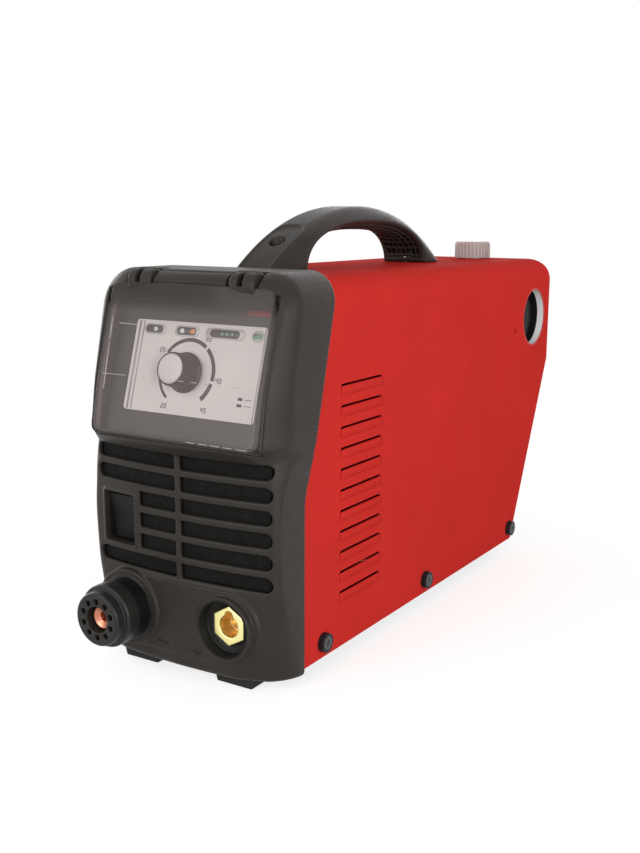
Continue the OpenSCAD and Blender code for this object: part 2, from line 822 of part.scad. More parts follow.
// Flip cover: a bowed front with a rim, and two ears on the hinge pins
module flip_cover() color([0.25, 0.24, 0.23, 0.6]) at_front() {
    wide = 2 * cover_half;
    low = cover_gap - well_foot;
    tall = well_foot + well_top_u - 2 * cover_gap;
    difference() {
        intersection() {
            bowed(face_points(0, foot_h, bezel_top));
            on_hood() translate([-cover_half, -30, low]) cube([wide, 30 + cover_rim, tall]);
        }
        intersection() {
            bowed(face_points(cover_t, foot_h, bezel_top));
            on_hood() translate([cover_t - cover_half, -30, low + cover_t])
                cube([wide - 2 * cover_t, 100, tall - 2 * cover_t]);
        }
        hinge_rod(sweep_r, 2 * case_w);
    }
    for (s = [-1, 1]) difference() {
        translate([s * ear_x, 0, 0]) {
            hinge_rod(barrel_r, ear_w);
            across(ear_w) polygon([
                hood_point(bow(ear_x) + 0.5, well_top_u - cover_gap),
                hood_point(bow(ear_x) + 0.5, well_top_u - 6),
                hood_point(bow(ear_x) + 4, well_top_u - 6),
                hood_point(hinge_v + 0.7 * barrel_r, hinge_u - 0.7 * barrel_r),
                hood_point(hinge_v - 0.7 * barrel_r, hinge_u + 0.7 * barrel_r)]);
        }
        hinge_rod(pin_r + run_gap, 2 * case_w);
    }
}

module hinge_pins() color(steel) at_front() {
    for (s = [-1, 1]) hinge_rod(pin_r, notch_w + 2 * pin_seat, s * ear_x);
}

module lamp_spots(grow) {
    for (i = [0 : len(lamp_w) - 1])
        on_panel(lamp_x[i], lamp_u) translate([0, 0, -board_gap / 2])
            linear_extrude(board_gap / 2 + label_t + 0.8)
                slot_outline(lamp_w[i] + 2 * grow, lamp_h + 2 * grow);
}

// Places of the bosses that carry the control board
module board_bosses() {
    for (x = [-1, 1], u = [14, well_top_u - 8])
        on_panel(x * (label_w / 2 - 2), u) children();
}

// Control panel: a plate behind the well, with bosses for the control board
module control_panel() color(black) at_front() {
    difference() {
        union() {
            on_hood() translate([fit_gap - cavity_half, panel_depth, panel_foot_u])
                cube([2 * (cavity_half - fit_gap), panel_t, panel_top_u - panel_foot_u]);
            board_bosses() translate([0, 0, -panel_t - board_gap]) cylinder(r = 3.5, h = board_gap + 1);
        }
        on_panel(knob_x, knob_u) translate([0, 0, -10]) cylinder(r = shaft_r + 1.6, h = 30);
        lamp_spots(fit_gap);
    }
}

module panel_label() color([0.8, 0.79, 0.78]) at_front() {
    difference() {
        on_panel(0, label_u + label_h / 2) linear_extrude(label_t) rounded_outline(label_w, label_h, 2);
        on_panel(knob_x, knob_u) translate([0, 0, -10]) cylinder(r = shaft_r + 2, h = 30);
        lamp_spots(fit_gap);
    }
}

module indicator_lamps() color([0.5, 0.6, 0.5]) at_front() {
    lamp_spots(0);
}

// Current knob: a skirt and a fluted grip on the shaft
module current_knob() color([0.3, 0.29, 0.28]) at_front() {
    skirt_z = label_t + 0.6;
    grip_r = knob_r - 1.6;
    on_panel(knob_x, knob_u) difference() {
        union() {
            translate([0, 0, skirt_z]) cylinder(r = knob_r, h = 2.4);
            translate([0, 0, skirt_z + 2]) cylinder(r = grip_r, h = knob_reach - skirt_z - 2);
        }
        translate([0, 0, -1]) cylinder(r = shaft_r, h = knob_reach - 3);
        translate([0, 0, knob_reach - 1.5]) cylinder(r = knob_r - 3.4, h = 5);
        for (i = [0 : 17]) rotate([0, 0, i * 20])
            translate([grip_r + 0.2, 0, skirt_z + 3.2]) cylinder(r = 0.8, h = 30, $fn = 24);
    }
}

module knob_cap() color([0.65, 0.62, 0.6]) at_front() {
    on_panel(knob_x, knob_u) translate([0, 0, knob_reach - 1.5]) difference() {
        cylinder(r = knob_r - 3.4 - fit_gap, h = 1.9);
        translate([-0.6, 2, 1.4]) cube([1.2, knob_r, 2]);
    }
}

module control_shaft() color(steel) at_front() {
    on_panel(knob_x, knob_u) translate([0, 0, -board_gap])
        cylinder(r = shaft_r, h = board_gap + knob_reach - 4);
}

module potentiometer() color([0.3, 0.35, 0.4]) at_front() {
    on_panel(knob_x, knob_u) difference() {
        union() {
            translate([0, 0, -panel_t - board_gap]) cylinder(r = 8.5, h = board_gap);
            translate([0, 0, -panel_t - 1]) cylinder(r = shaft_r + 1.5, h = panel_t + 1.5);
        }
        translate([0, 0, -board_gap - 0.5]) cylinder(r = shaft_r + run_gap, h = 40);
    }
}

module control_board() color([0.1, 0.35, 0.2]) at_front() {
    on_hood() translate([-label_w / 2 - 4, panel_depth + panel_t + board_gap, 6])
        cube([label_w + 8, board_t, well_top_u - 8]);
}

module at_torch() {
    facing_front(-socket_x, socket_z, bow(socket_x) - pad_lift) children();
}

module at_earth() {
    facing_front(socket_x, socket_z, bow(socket_x) - pad_lift) children();
}

module torch_pin_spots() {
    for (i = [0 : torch_pin_count - 1])
        rotate([0, 0, i * 360 / torch_pin_count]) translate([torch_pin_pcr, 0, 0]) children();
}

// Torch socket: stepped sleeve with a ring of contact holes round the centre hole
module torch_socket() color(black) at_front() {
    face = torch_reach - 3;
    at_torch() difference() {
        union() {
            cylinder(r = torch_flange_r, h = 7);
            cylinder(r = torch_ring_r - 1.5, h = 22);
            translate([0, 0, 9]) cylinder(r = torch_ring_r, h = 6);
            translate([0, 0, 17]) cylinder(r = torch_ring_r, h = 6);
            cylinder(r = torch_front_r, h = torch_reach);
            translate([0, 0, -26]) cylinder(r = torch_barrel_r, h = 27);
            translate([0, 0, -42]) cylinder(r = hose_bore_r, h = 20);
        }
        translate([0, 0, face]) cylinder(r = torch_front_r - 1.8, h = 10);
        translate([0, 0, 4]) cylinder(r = torch_centre_r, h = 40);
        torch_pin_spots() translate([0, 0, face - 18]) cylinder(r = torch_pin_hole_r, h = 30);
        translate([0, 0, -50]) cylinder(r = hose_bore_r - 1.5, h = 60);
    }
}

module torch_contact() color(copper) at_front() {
    at_torch() translate([0, 0, 4]) difference() {
        cylinder(r = torch_centre_r - run_gap, h = torch_reach - 5);
        translate([0, 0, 6]) cylinder(r = torch_bore_r, h = 60);
    }
}

module torch_pins() color(brass) at_front() {
    at_torch() torch_pin_spots() translate([0, 0, torch_reach - 21]) difference() {
        cylinder(r = torch_pin_hole_r - run_gap, h = 12);
        translate([0, 0, 3]) cylinder(r = torch_pin_hole_r - 0.6, h = 20);
    }
}

// Nut that clamps a socket's barrel behind its pad
module socket_nut(bore_r) {
    translate([0, 0, -pad_lift - pad_depth - 6]) difference() {
        hex(bore_r + 6, 6);
        translate([0, 0, -1]) cylinder(r = bore_r + fit_gap, h = 10);
    }
}

module torch_nut() color(steel) at_front() {
    at_torch() socket_nut(torch_barrel_r);
}

module earth_socket() color(black) at_front() {
    at_earth() difference() {
        union() {
            cylinder(r = earth_ring_r, h = 4.5);
            cylinder(r = earth_ring_r - 1, h = 5.5);
        }
        translate([0, 0, 1.5]) hex(earth_hex_r + fit_gap, 10);
        translate([0, 0, -1]) cylinder(r = 10 + fit_gap, h = 20);
    }
}

// Brass insert: hex head, keyed bore, barrel and rear stud
module earth_insert() color(brass) at_front() {
    at_earth() difference() {
        union() {
            translate([0, 0, 1.5]) hex(earth_hex_r, 5);
            translate([0, 0, -30]) cylinder(r = 10, h = 33);
            translate([0, 0, -42]) cylinder(r = lead_r, h = 20);
        }
        translate([0, 0, -22]) cylinder(r = earth_bore_r, h = 60);
        translate([-earth_key_w / 2, 0, -22]) cube([earth_key_w, earth_key_r, 60]);
    }
}

module earth_nut() color(steel) at_front() {
    at_earth() socket_nut(10);
}

// The switch: +Z towards the viewer from the frame's front
module at_switch() {
    facing_front(-switch_x, switch_z, frame_y) children();
}

rocker_half = (switch_h - 3) / 2 - 1.4;
rocker_axis = -14;

module switch_housing() color(black) at_front() {
    at_switch() difference() {
        union() {
            translate([0, 0, -30]) linear_extrude(30)
                square([switch_w - 2 * fit_gap, switch_h - 2 * fit_gap], center = true);
            translate([0, 0, frame_y - frame_rear - 2]) linear_extrude(2)
                square([switch_w + 3, switch_h + 3], center = true);
        }
        translate([0, 0, -24]) linear_extrude(40) square([switch_w - 3, switch_h - 3], center = true);
        translate([-50, 0, rocker_axis]) rotate([0, 90, 0]) cylinder(r = pin_r + run_gap, h = 100);
    }
    at_switch() for (y = [-9, 0, 9]) translate([-3, y - 0.4, -38]) cube([6, 0.8, 9]);
}

module mains_rocker() color([0.14, 0.14, 0.14]) at_front() {
    axle = switch_w - 2 * fit_gap - 0.6;
    at_switch() translate([0, 0, rocker_axis]) rotate([rocker_tilt, 0, 0]) {
        rotate([90, 0, 90]) linear_extrude(switch_w - 4, center = true)
            polygon([
                [-rocker_half, 2.5],
                [-rocker_half, 6],
                [0, 4.5],
                [rocker_half, 6],
                [rocker_half, 2.5],
                [3.5, -3.5],
                [-3.5, -3.5]]);
        translate([-axle / 2, 0, 0]) rotate([0, 90, 0]) cylinder(r = pin_r, h = axle);
    }
}

module power_board() color([0.1, 0.35, 0.2]) at_front() {
    translate([-board_w / 2, board_y, board_z]) cube([board_w, board_len, board_t]);
}

module board_standoffs() color(steel) at_front() {
    for (x = [-1, 1], k = [0, 0.5, 1])
        translate([x * (board_w / 2 - 6), board_y + 6 + k * (board_len - 12), tray_z + sheet])
            cylinder(r = 3, h = board_lift);
}

sink_w = 48;
sink_len = 76;
sink_y = board_y + 72;
module_h = 6.5;

module sink_spots() {
    for (s = [-1, 1]) translate([s * (board_w / 4 + 1), sink_y, board_top]) children();
}

module power_modules() color(black) at_front() {
    sink_spots() for (k = [0, 1]) translate([-15, 6 + k * 36, 0]) cube([30, 28, module_h]);
}

// Finned heat sinks on the power modules, with the fins along the air stream
module heat_sinks() color([0.8, 0.8, 0.82]) at_front() {
    sink_spots() translate([-sink_w / 2, 0, module_h]) {
        cube([sink_w, sink_len, 6]);
        for (i = [0 : 8]) translate([i * (sink_w - 1.6) / 8, 0, 5]) cube([1.6, sink_len, 31]);
    }
}

module capacitors() color([0.15, 0.2, 0.35]) at_front() {
    for (x = [-1, 0, 1]) translate([x * 36, board_y + board_len - 18, board_top]) {
        cylinder(r = 15, h = 43);
        cylinder(r = 14, h = 45);
    }
}

core = [52, 48, 50];

module at_transformer() {
    translate([-board_w / 4 + 1, board_y + 40, board_top]) children();
}

module transformer_core() color([0.25, 0.25, 0.27]) at_front() {
    at_transformer() difference() {
        translate([-core[0] / 2, -core[1] / 2, 0]) cube(core);
        translate([-core[0] / 2 + 8, -core[1], 9]) cube([core[0] - 16, 2 * core[1], core[2] - 18]);
    }
    at_transformer() translate([-8, -core[1] / 2 + 8, 8]) cube([16, core[1] - 16, core[2] - 16]);
}

module transformer_winding() color(copper) at_front() {
    at_transformer() translate([0, 0, 9 + fit_gap]) difference() {
        linear_extrude(core[2] - 18 - 2 * fit_gap) rounded_outline(core[0] - 18, core[1] + 6, 8);
        translate([-8 - fit_gap, -core[1] / 2 + 8 - fit_gap, -1])
            cube([16 + 2 * fit_gap, core[1] - 16 + 2 * fit_gap, core[2]]);
    }
}

module output_choke() color(copper) at_front() {
    translate([board_w / 4 + 2, board_y + 44, board_top + 11])
        rotate_extrude() translate([15, 0]) circle(r = 11);
}

// Cable from a socket to the power board, ending in a lug on the board
module lead_cable(x, y0) {
    end_y = board_y + 10;
    along(y0, end_y) translate([x, socket_z]) circle(r = lead_r);
    translate([x - 6, end_y - 4, board_top]) cube([12, 8, socket_z - board_top]);
}

module earth_lead() color(black) at_front() {
    lug_y = bow(socket_x) - pad_lift + 36;
    difference() {
        union() {
            along(lug_y, lug_y + 9) translate([socket_x, socket_z]) circle(r = 9);
            lead_cable(socket_x, lug_y + 8);
        }
        along(0, bow(socket_x) - pad_lift + 42 + fit_gap) translate([socket_x, socket_z])
            circle(r = lead_r + fit_gap);
    }
}

module torch_lead() color(black) at_front() {
    clamp_y = bow(socket_x) - pad_lift + 17;
    lead_x = -socket_x - torch_barrel_r - lead_r;
    difference() {
        union() {
            along(clamp_y, clamp_y + 7) translate([-socket_x, socket_z]) circle(r = torch_barrel_r + 2.5);
            lead_cable(lead_x, clamp_y);
        }
        along(0, clamp_y + 20) translate([-socket_x, socket_z]) circle(r = torch_barrel_r + fit_gap);
    }
}

// Fan: square frame with a ring, a stator hub on struts and a shaft
module fan_frame() color(black) at_front() {
    at_fan() translate([0, 0, -fan_t]) difference() {
        union() {
            difference() {
                linear_extrude(fan_t) rounded_outline(fan_w, fan_w, 4);
                translate([0, 0, -1]) cylinder(r = fan_w / 2 - 2.5, h = fan_t + 2);
            }
            cylinder(r = 16, h = 5);
            for (a = [45, 135]) rotate([0, 0, a])
                translate([-fan_w / 2 + 1, -2, 0]) cube([fan_w - 2, 4, 4]);
            cylinder(r = 2, h = fan_t - 5);
        }
        for (x = [-1, 1], y = [-1, 1])
            translate([x * (fan_w / 2 - 4.3), y * (fan_w / 2 - 4.3), -1]) cylinder(r = 2 + fit_gap, h = 50);
    }
}

module fan_rotor() color([0.16, 0.16, 0.16]) at_front() {
    at_fan() translate([0, 0, -fan_t]) difference() {
        union() {
            translate([0, 0, 5.5]) cylinder(r = 17, h = fan_t - 9);
            for (i = [0 : fan_blades - 1]) rotate([0, 0, i * 360 / fan_blades])
                translate([16, 0, fan_t / 2 + 1]) rotate([48, 0, 0])
                    translate([0, -0.8, -9]) cube([fan_w / 2 - 20.5, 1.6, 18]);
        }
        translate([0, 0, -1]) cylinder(r = 2 + run_gap, h = fan_t - 3.5);
    }
}

// Guard over the fan's opening, on the outside of the rear panel: rings on two crossed bars
module fan_guard() color(steel) at_front() {
    wire = 2.4;
    bar = 2 * sqrt(2) * (fan_w / 2 - 4.3);
    at_fan() translate([0, 0, sheet]) difference() {
        union() {
            for (r = [12 : 8 : fan_w / 2 - 4]) linear_extrude(wire) difference() {
                circle(r = r + wire / 2);
                circle(r = r - wire / 2);
            }
            for (a = [45, 135]) rotate([0, 0, a])
                translate([-bar / 2, -wire / 2, 0]) cube([bar, wire, wire]);
            for (a = [45 : 90 : 315]) rotate([0, 0, a])
                translate([bar / 2, 0, 0]) cylinder(r = 4, h = wire);
        }
        for (a = [45 : 90 : 315]) rotate([0, 0, a]) translate([bar / 2, 0, -1])
            cylinder(r = 2 + fit_gap, h = 10);
    }
}

module cable_gland() color(black) at_front() {
    facing_rear(gland_x, gauge_z) difference() {
        union() {
            translate([0, 0, -14]) cylinder(r = 10, h = 15);
            hex(15, 6);
            translate([0, 0, 5]) cylinder(r = 13, h = 9);
            translate([0, 0, 13]) cylinder(r1 = 13, r2 = 9, h = fitting_reach - 15);
        }
        translate([0, 0, -30]) cylinder(r = gland_bore_r, h = 80);
    }
}

module gland_nut() color(black) at_front() {
    facing_rear(gland_x, gauge_z) translate([0, 0, -sheet - 5]) difference() {
        hex(14, 5);
        translate([0, 0, -1]) cylinder(r = 10 + fit_gap, h = 10);
    }
}

// Air inlet: a nipple outside, threaded through the panel into the regulator
module air_inlet() color(brass) at_front() {
    reach_in = rear_y - reg_y - reg_w / 2;
    facing_rear(reg_x, gauge_z) difference() {
        union() {
            translate([0, 0, -reach_in - 8]) cylinder(r = 6.5, h = reach_in + 9);
            hex(11, 7);
            translate([0, 0, 6]) cylinder(r = 5, h = fitting_reach - 6);
            translate([0, 0, fitting_reach - 9]) cylinder(r = 6, h = 5);
        }
        translate([0, 0, -60]) cylinder(r = inlet_bore_r, h = 120);
    }
}

module regulator_body() color(steel) at_front() {
    at_regulator() difference() {
        union() {
            translate([-reg_w / 2, -reg_w / 2, -reg_h / 2]) cube([reg_w, reg_w, reg_h]);
            translate([0, -reg_w / 2 - 14, 0]) rotate([-90, 0, 0]) cylinder(r = hose_bore_r, h = 20);
            translate([0, -reg_w / 2 - 4, 0]) rotate([-90, 0, 0]) hex(9, 6);
        }
        translate([0, reg_w / 2 + 1, 0]) rotate([90, 0, 0]) cylinder(r = 6.5 + fit_gap, h = 10);
        translate([reg_w / 2 - 8, 0, 0]) rotate([0, 90, 0]) cylinder(r = lead_r + fit_gap, h = 10);
        translate([0, -60, 0]) rotate([-90, 0, 0]) cylinder(r = hose_bore_r - 1.5, h = 60);
    }
}

module filter_bowl() color([0.8, 0.82, 0.85, 0.6]) at_front() {
    bowl_len = gauge_z - reg_h / 2 - rear_kink_h + 9;
    at_regulator() translate([0, 0, -reg_h / 2 - bowl_len]) difference() {
        union() {
            translate([0, 0, 4]) cylinder(r = bowl_r, h = bowl_len - 4);
            cylinder(r1 = bowl_r - 4, r2 = bowl_r, h = 4);
        }
        translate([0, 0, 3]) cylinder(r = bowl_r - 3, h = bowl_len - 6);
    }
}

bonnet_top = case_h - gauge_z - 9;
// The adjusting screw's collar carries the knob just above the cover
stem_top = case_h - gauge_z + 0.6;
collar_r = 6;
collar_h = 1.2;
drive_w = 5;
drive_len = 6 + reg_knob_lift;

module regulator_bonnet() color(black) at_front() {
    at_regulator() difference() {
        union() {
            translate([0, 0, reg_h / 2]) cylinder(r = reg_w / 2 - 3, h = 8);
            translate([0, 0, reg_h / 2]) cylinder(r = reg_knob_r - 3.5, h = bonnet_top - reg_h / 2);
        }
        translate([0, 0, reg_h / 2 + 2]) cylinder(r = 4 + run_gap, h = bonnet_top);
    }
}

// Threaded stem under the regulator's knob, with a square drive end
module adjusting_screw() color(steel) at_front() {
    at_regulator() {
        translate([0, 0, reg_h / 2 + 3]) cylinder(r = 4, h = stem_top - reg_h / 2 - 3.5);
        translate([0, 0, stem_top - collar_h]) cylinder(r = collar_r, h = collar_h);
        translate([-drive_w / 2, -drive_w / 2, stem_top - 0.5]) cube([drive_w, drive_w, drive_len]);
    }
}

// Ribbed pull-up knob on the screw's collar, with a square drive socket
module regulator_knob() color([0.6, 0.58, 0.56]) at_front() {
    top = case_h + reg_knob_rise - gauge_z;
    low = stem_top + run_gap;
    drive = drive_w + 2 * run_gap;
    at_regulator() difference() {
        translate([0, 0, low]) union() {
            cylinder(r = reg_knob_r - 0.8, h = top - low);
            for (i = [0 : 29]) rotate([0, 0, i * 12])
                translate([reg_knob_r - 1.4, -0.8, 0]) cube([1.4, 1.6, top - low - 1.5]);
        }
        translate([-drive / 2, -drive / 2, 0]) cube([drive, drive, stem_top + drive_len]);
    }
}

// Bracket that carries the regulator's bonnet on the rear panel
module regulator_bracket() color(steel) at_front() {
    plate_z = reg_h / 2 + 8;
    back = rear_y - sheet - reg_y;
    at_regulator() difference() {
        union() {
            translate([-18, -reg_w / 2, plate_z]) cube([36, reg_w / 2 + back, sheet]);
            translate([-18, back - sheet, plate_z - 14]) cube([36, sheet, 14 + sheet]);
        }
        translate([0, 0, plate_z - 1]) cylinder(r = reg_knob_r - 3.5 + fit_gap, h = 10);
    }
}

// Gauge: case on a stem in the regulator, dial, needle and lens, inside a pale collar
module gauge_case() color(black) at_front() {
    at_gauge() difference() {
        union() {
            cylinder(r = gauge_r, h = gauge_t);
            translate([0, 0, -stem_len - 7]) cylinder(r = lead_r, h = stem_len + 8);
        }
        translate([0, 0, gauge_t - 5]) cylinder(r = gauge_r - 2, h = 20);
    }
    at_gauge() translate([0, 0, gauge_t - 6]) cylinder(r = 1, h = 4.4);
}

module gauge_dial() color([0.12, 0.12, 0.12]) at_front() {
    at_gauge() translate([0, 0, gauge_t - 5]) difference() {
        cylinder(r = gauge_r - 2.1, h = 1);
        translate([0, 0, -1]) cylinder(r = 1 + fit_gap, h = 5);
    }
}

module gauge_needle() color([0.9, 0.9, 0.88]) at_front() {
    at_gauge() translate([0, 0, gauge_t - 3.4]) rotate([0, 0, 45]) difference() {
        union() {
            cylinder(r = 2.2, h = 1);
            translate([-0.6, -5, 0]) cube([1.2, gauge_r - 3, 0.8]);
        }
        translate([0, 0, -1]) cylinder(r = 1 + run_gap, h = 5);
    }
}

module gauge_lens() color([0.8, 0.85, 0.9, 0.3]) at_front() {
    at_gauge() translate([0, 0, gauge_t]) {
        cylinder(r = gauge_r, h = lens_t);
        translate([0, 0, -1]) cylinder(r = gauge_r - 2.2, h = 2);
    }
}

module gauge_collar() color([0.93, 0.93, 0.92]) at_front() {
    at_gauge() translate([0, 0, gauge_t - 5]) difference() {
        cylinder(r = window_r - fit_gap, h = 5 + lens_t + gauge_set - 0.2);
        translate([0, 0, -1]) cylinder(r = window_r - collar_t, h = 60);
        translate([0, 0, -1]) cylinder(r = gauge_r + fit_gap, h = 60);
    }
}

// Solenoid valve: block on a foot, coil behind it, ports on top and to the left
module solenoid_valve() color([0.7, 0.6, 0.35]) at_front() {
    low = socket_z - valve_h / 2;
    translate([valve_x, valve_y, socket_z]) {
        translate([-valve_w / 2, -13, -valve_h / 2]) cube([valve_w, 26, valve_h]);
        translate([-valve_w / 2, 12, -valve_h / 2]) cube([valve_w, 32, valve_h + 2]);
        translate([-valve_w / 2, -10, tray_z + sheet - socket_z]) cube([valve_w, 20, low - tray_z]);
        translate([0, 0, valve_h / 2 - 1]) cylinder(r = hose_bore_r, h = 13);
        translate([-valve_w / 2 - 10, 0, 0]) rotate([0, 90, 0]) cylinder(r = hose_bore_r, h = 12);
    }
}

// Hose from the regulator forward over the power parts and down to the valve
module regulator_hose() color([0.15, 0.3, 0.55]) at_front() {
    top = socket_z + valve_h / 2 + 2;
    drop = gauge_z - hose_bend_r - top;
    run = reg_y - reg_w / 2 - 5 - valve_y - hose_bend_r;
    translate([valve_x, valve_y, top]) rotate([90, 0, 90]) bent_hose(drop, run);
}

// Hose from the valve to the torch socket's tail
module torch_hose() color([0.15, 0.3, 0.55]) at_front() {
    start = bow(socket_x) - pad_lift + 30;
    translate([-socket_x, start, socket_z])
        bent_hose(valve_y - hose_bend_r - start, valve_x - valve_w / 2 - 1 + socket_x - hose_bend_r);
}

base_tray();
case_cover();
rear_panel();
front_bezel();
dust_filter();
front_feet();
rear_feet();
carry_handle();
handle_screws();
case_screws();
flip_cover();
hinge_pins();
control_panel();
panel_label();
indicator_lamps();
current_knob();
knob_cap();
control_shaft();
potentiometer();
control_board();
torch_socket();
torch_contact();
torch_pins();
torch_nut();
earth_socket();
earth_insert();
earth_nut();
switch_housing();
mains_rocker();
power_board();
board_standoffs();
power_modules();
heat_sinks();
capacitors();
transformer_core();
transformer_winding();
output_choke();
earth_lead();
torch_lead();
fan_frame();
fan_rotor();
fan_guard();
cable_gland();
gland_nut();
air_inlet();
regulator_body();
filter_bowl();
regulator_bonnet();
adjusting_screw();
regulator_knob();
regulator_bracket();
gauge_case();
gauge_dial();
gauge_needle();
gauge_lens();
gauge_collar();
solenoid_valve();
regulator_hose();
torch_hose();
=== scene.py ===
"""Looks of a portable plasma cutter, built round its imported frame.

Shapes are worked out in millimetres in the unit's own depth, which is 0 at the lower front face.
to_frame() turns them into the frame's metres.
"""
import functools
import json
import math

import bmesh
import bpy
import numpy as np
from mathutils import Matrix, Vector


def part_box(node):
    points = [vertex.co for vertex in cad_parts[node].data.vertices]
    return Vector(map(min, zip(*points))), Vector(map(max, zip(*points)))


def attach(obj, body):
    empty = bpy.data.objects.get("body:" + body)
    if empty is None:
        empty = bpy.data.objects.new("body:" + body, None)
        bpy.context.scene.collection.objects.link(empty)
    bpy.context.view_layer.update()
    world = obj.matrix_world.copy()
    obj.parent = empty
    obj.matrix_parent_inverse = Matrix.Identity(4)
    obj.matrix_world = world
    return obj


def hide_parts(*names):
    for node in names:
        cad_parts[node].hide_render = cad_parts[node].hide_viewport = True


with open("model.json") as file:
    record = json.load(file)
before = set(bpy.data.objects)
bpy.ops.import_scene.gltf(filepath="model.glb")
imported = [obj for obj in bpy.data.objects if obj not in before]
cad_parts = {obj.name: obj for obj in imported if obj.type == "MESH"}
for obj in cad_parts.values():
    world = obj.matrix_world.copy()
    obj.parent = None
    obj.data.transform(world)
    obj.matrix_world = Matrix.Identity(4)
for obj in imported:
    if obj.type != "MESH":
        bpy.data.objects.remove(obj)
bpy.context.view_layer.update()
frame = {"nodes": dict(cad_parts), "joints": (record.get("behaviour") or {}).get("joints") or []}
nodes = frame["nodes"]
joints = {j["name"]: j for j in frame["joints"]}
MM = 0.001
SAME_POINT = 0.002  # millimetres: points closer than this are one
CRUMB = 30  # faces: a loose group with fewer is dropped

# Driving sizes of the moulded front, in millimetres
LIP_REACH = 10
LIP_H = 150
LIP_BAND = 6
APRON_H = 114
FACE_TOP = 135.5
HOOD_LEAN = math.radians(16.7)
FACE_R = 370
FRONT_EDGE_R = 10
APRON_EDGE_R = 3.2
CHIN_R = 28
CHIN_DROP = 3
CHIN_X = 52
LIP_EDGE_R = 23
HOOD_EDGE_R = 16
BEZEL_WALL = 3
APRON_FLARE = 1
NOSE_R = 7
PANEL_DEPTH = 20
REAR_EDGE_H = 112
REAR_EDGE_LEAN = math.radians(14)
BEZEL_DEPTH = 35
SLOT_ROWS = 6
SLOT_PITCH = 13
SLOT_Z = 67
SLOT_H = 8.6
RIB_W = 3.6
SOCKET_X = 35.5
SOCKET_Z = 38
SWITCH_X = 45


def node_box(name):
    """Lowest and highest corner of a frame node, in millimetres"""
    lo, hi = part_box(name)
    return lo / MM, hi / MM


def hood_place(y, z):
    """How far points lie behind the hood's leaning face, and how far up it"""
    y, z = y + LIP_REACH, z - LIP_H
    return y * COS - z * SIN, y * SIN + z * COS


# Sizes that the frame gives
bezel_lo, bezel_hi = node_box("front_bezel")
FRONT_Y = bezel_lo.y + LIP_REACH
HALF_W, _, CASE_H = node_box("case_cover")[1]
HOOD_HALF = bezel_hi.x
APRON_HALF = HALF_W + APRON_FLARE
BEZEL_TOP = bezel_hi.z
FOOT_H = bezel_lo.z
SWITCH_Z = SLOT_Z + 1.85 * SLOT_PITCH
hinge = Vector(joints["cover_flip"]["pos_m"]) / MM
HINGE_Y = hinge.y - FRONT_Y
HINGE_Z = hinge.z
COS, SIN = math.cos(HOOD_LEAN), math.sin(HOOD_LEAN)
HINGE_V, HINGE_U = hood_place(HINGE_Y, HINGE_Z)
WELL_TOP_U = HINGE_U - NOSE_R - 2.4
WELL_HALF = HOOD_HALF - 9


def to_frame(points):
    """Points in millimetres of the unit's own depth, in the frame's metres"""
    return (np.asarray(points, float) + (0, FRONT_Y, 0)) * MM


def hood_point(x, v, u):
    """A point of the leaning hood: v goes inwards from its face and u up it"""
    return (x, -LIP_REACH + v * COS + u * SIN, LIP_H - v * SIN + u * COS)


def bow(x):
    """How far the bowed front lies behind its middle"""
    return FACE_R - np.sqrt(FACE_R ** 2 - x ** 2)


# Distance fields: negative inside, in millimetres
def space(lo, hi, step):
    """Sample points of a box of space as three arrays that broadcast"""
    axes = [np.arange(a, b + step, step, dtype=np.float32) for a, b in zip(lo, hi)]
    return np.meshgrid(*axes, indexing="ij", sparse=True)


def both(a, b, r):
    """Where two shapes overlap, with the edge between them rounded"""
    return np.minimum(np.maximum(a, b), -r) + np.hypot(np.maximum(a + r, 0), np.maximum(b + r, 0))


def either(a, b, r):
    """Two shapes joined, with a fillet between them"""
    return -both(-a, -b, r)


def without(a, b, r):
    """The first shape with the second cut out of it, with rounded edges"""
    return both(a, -b, r)


def meet(*shapes):
    """Where all the shapes overlap, with sharp edges"""
    return functools.reduce(np.maximum, shapes)


def join(*shapes):
    """All the shapes together, without fillets"""
    return functools.reduce(np.minimum, shapes)


def bar(p, q, half_p, half_q, r):
    """A rectangle with rounded corners"""
    a = np.abs(p) - half_p + r
    b = np.abs(q) - half_q + r
    return np.hypot(np.maximum(a, 0), np.maximum(b, 0)) + np.minimum(np.maximum(a, b), 0) - r


def soften(values, step, width):
    """Values along the last axis, smoothed over a width"""
    reach = int(3 * width / step) + 1
    kernel = np.exp(-0.5 * (np.arange(-reach, reach + 1) * step / width) ** 2)
    line = np.pad(values.ravel(), reach, mode="edge")
    return np.convolve(line, kernel / kernel.sum(), "valid").reshape(values.shape).astype(np.float32)


def cell_points(d, cells):
    """One point on the surface in each cell: the middle of the crossings on its edges"""
    total, count = np.zeros((len(cells), 3)), np.zeros(len(cells))
    for a in np.array(list(np.ndindex(2, 2, 2))):
        for axis in np.flatnonzero(a == 0):
            along = np.eye(3, dtype=int)[axis]
            da, db = (d[tuple((cells + corner).T)] for corner in (a, a + along))
            crossed = (da < 0) != (db < 0)
            t = np.where(crossed, da / np.where(crossed, da - db, 1), 0)
            total += (a + t[:, None] * along) * crossed[:, None]
            count += crossed
    return cells + total / count[:, None]


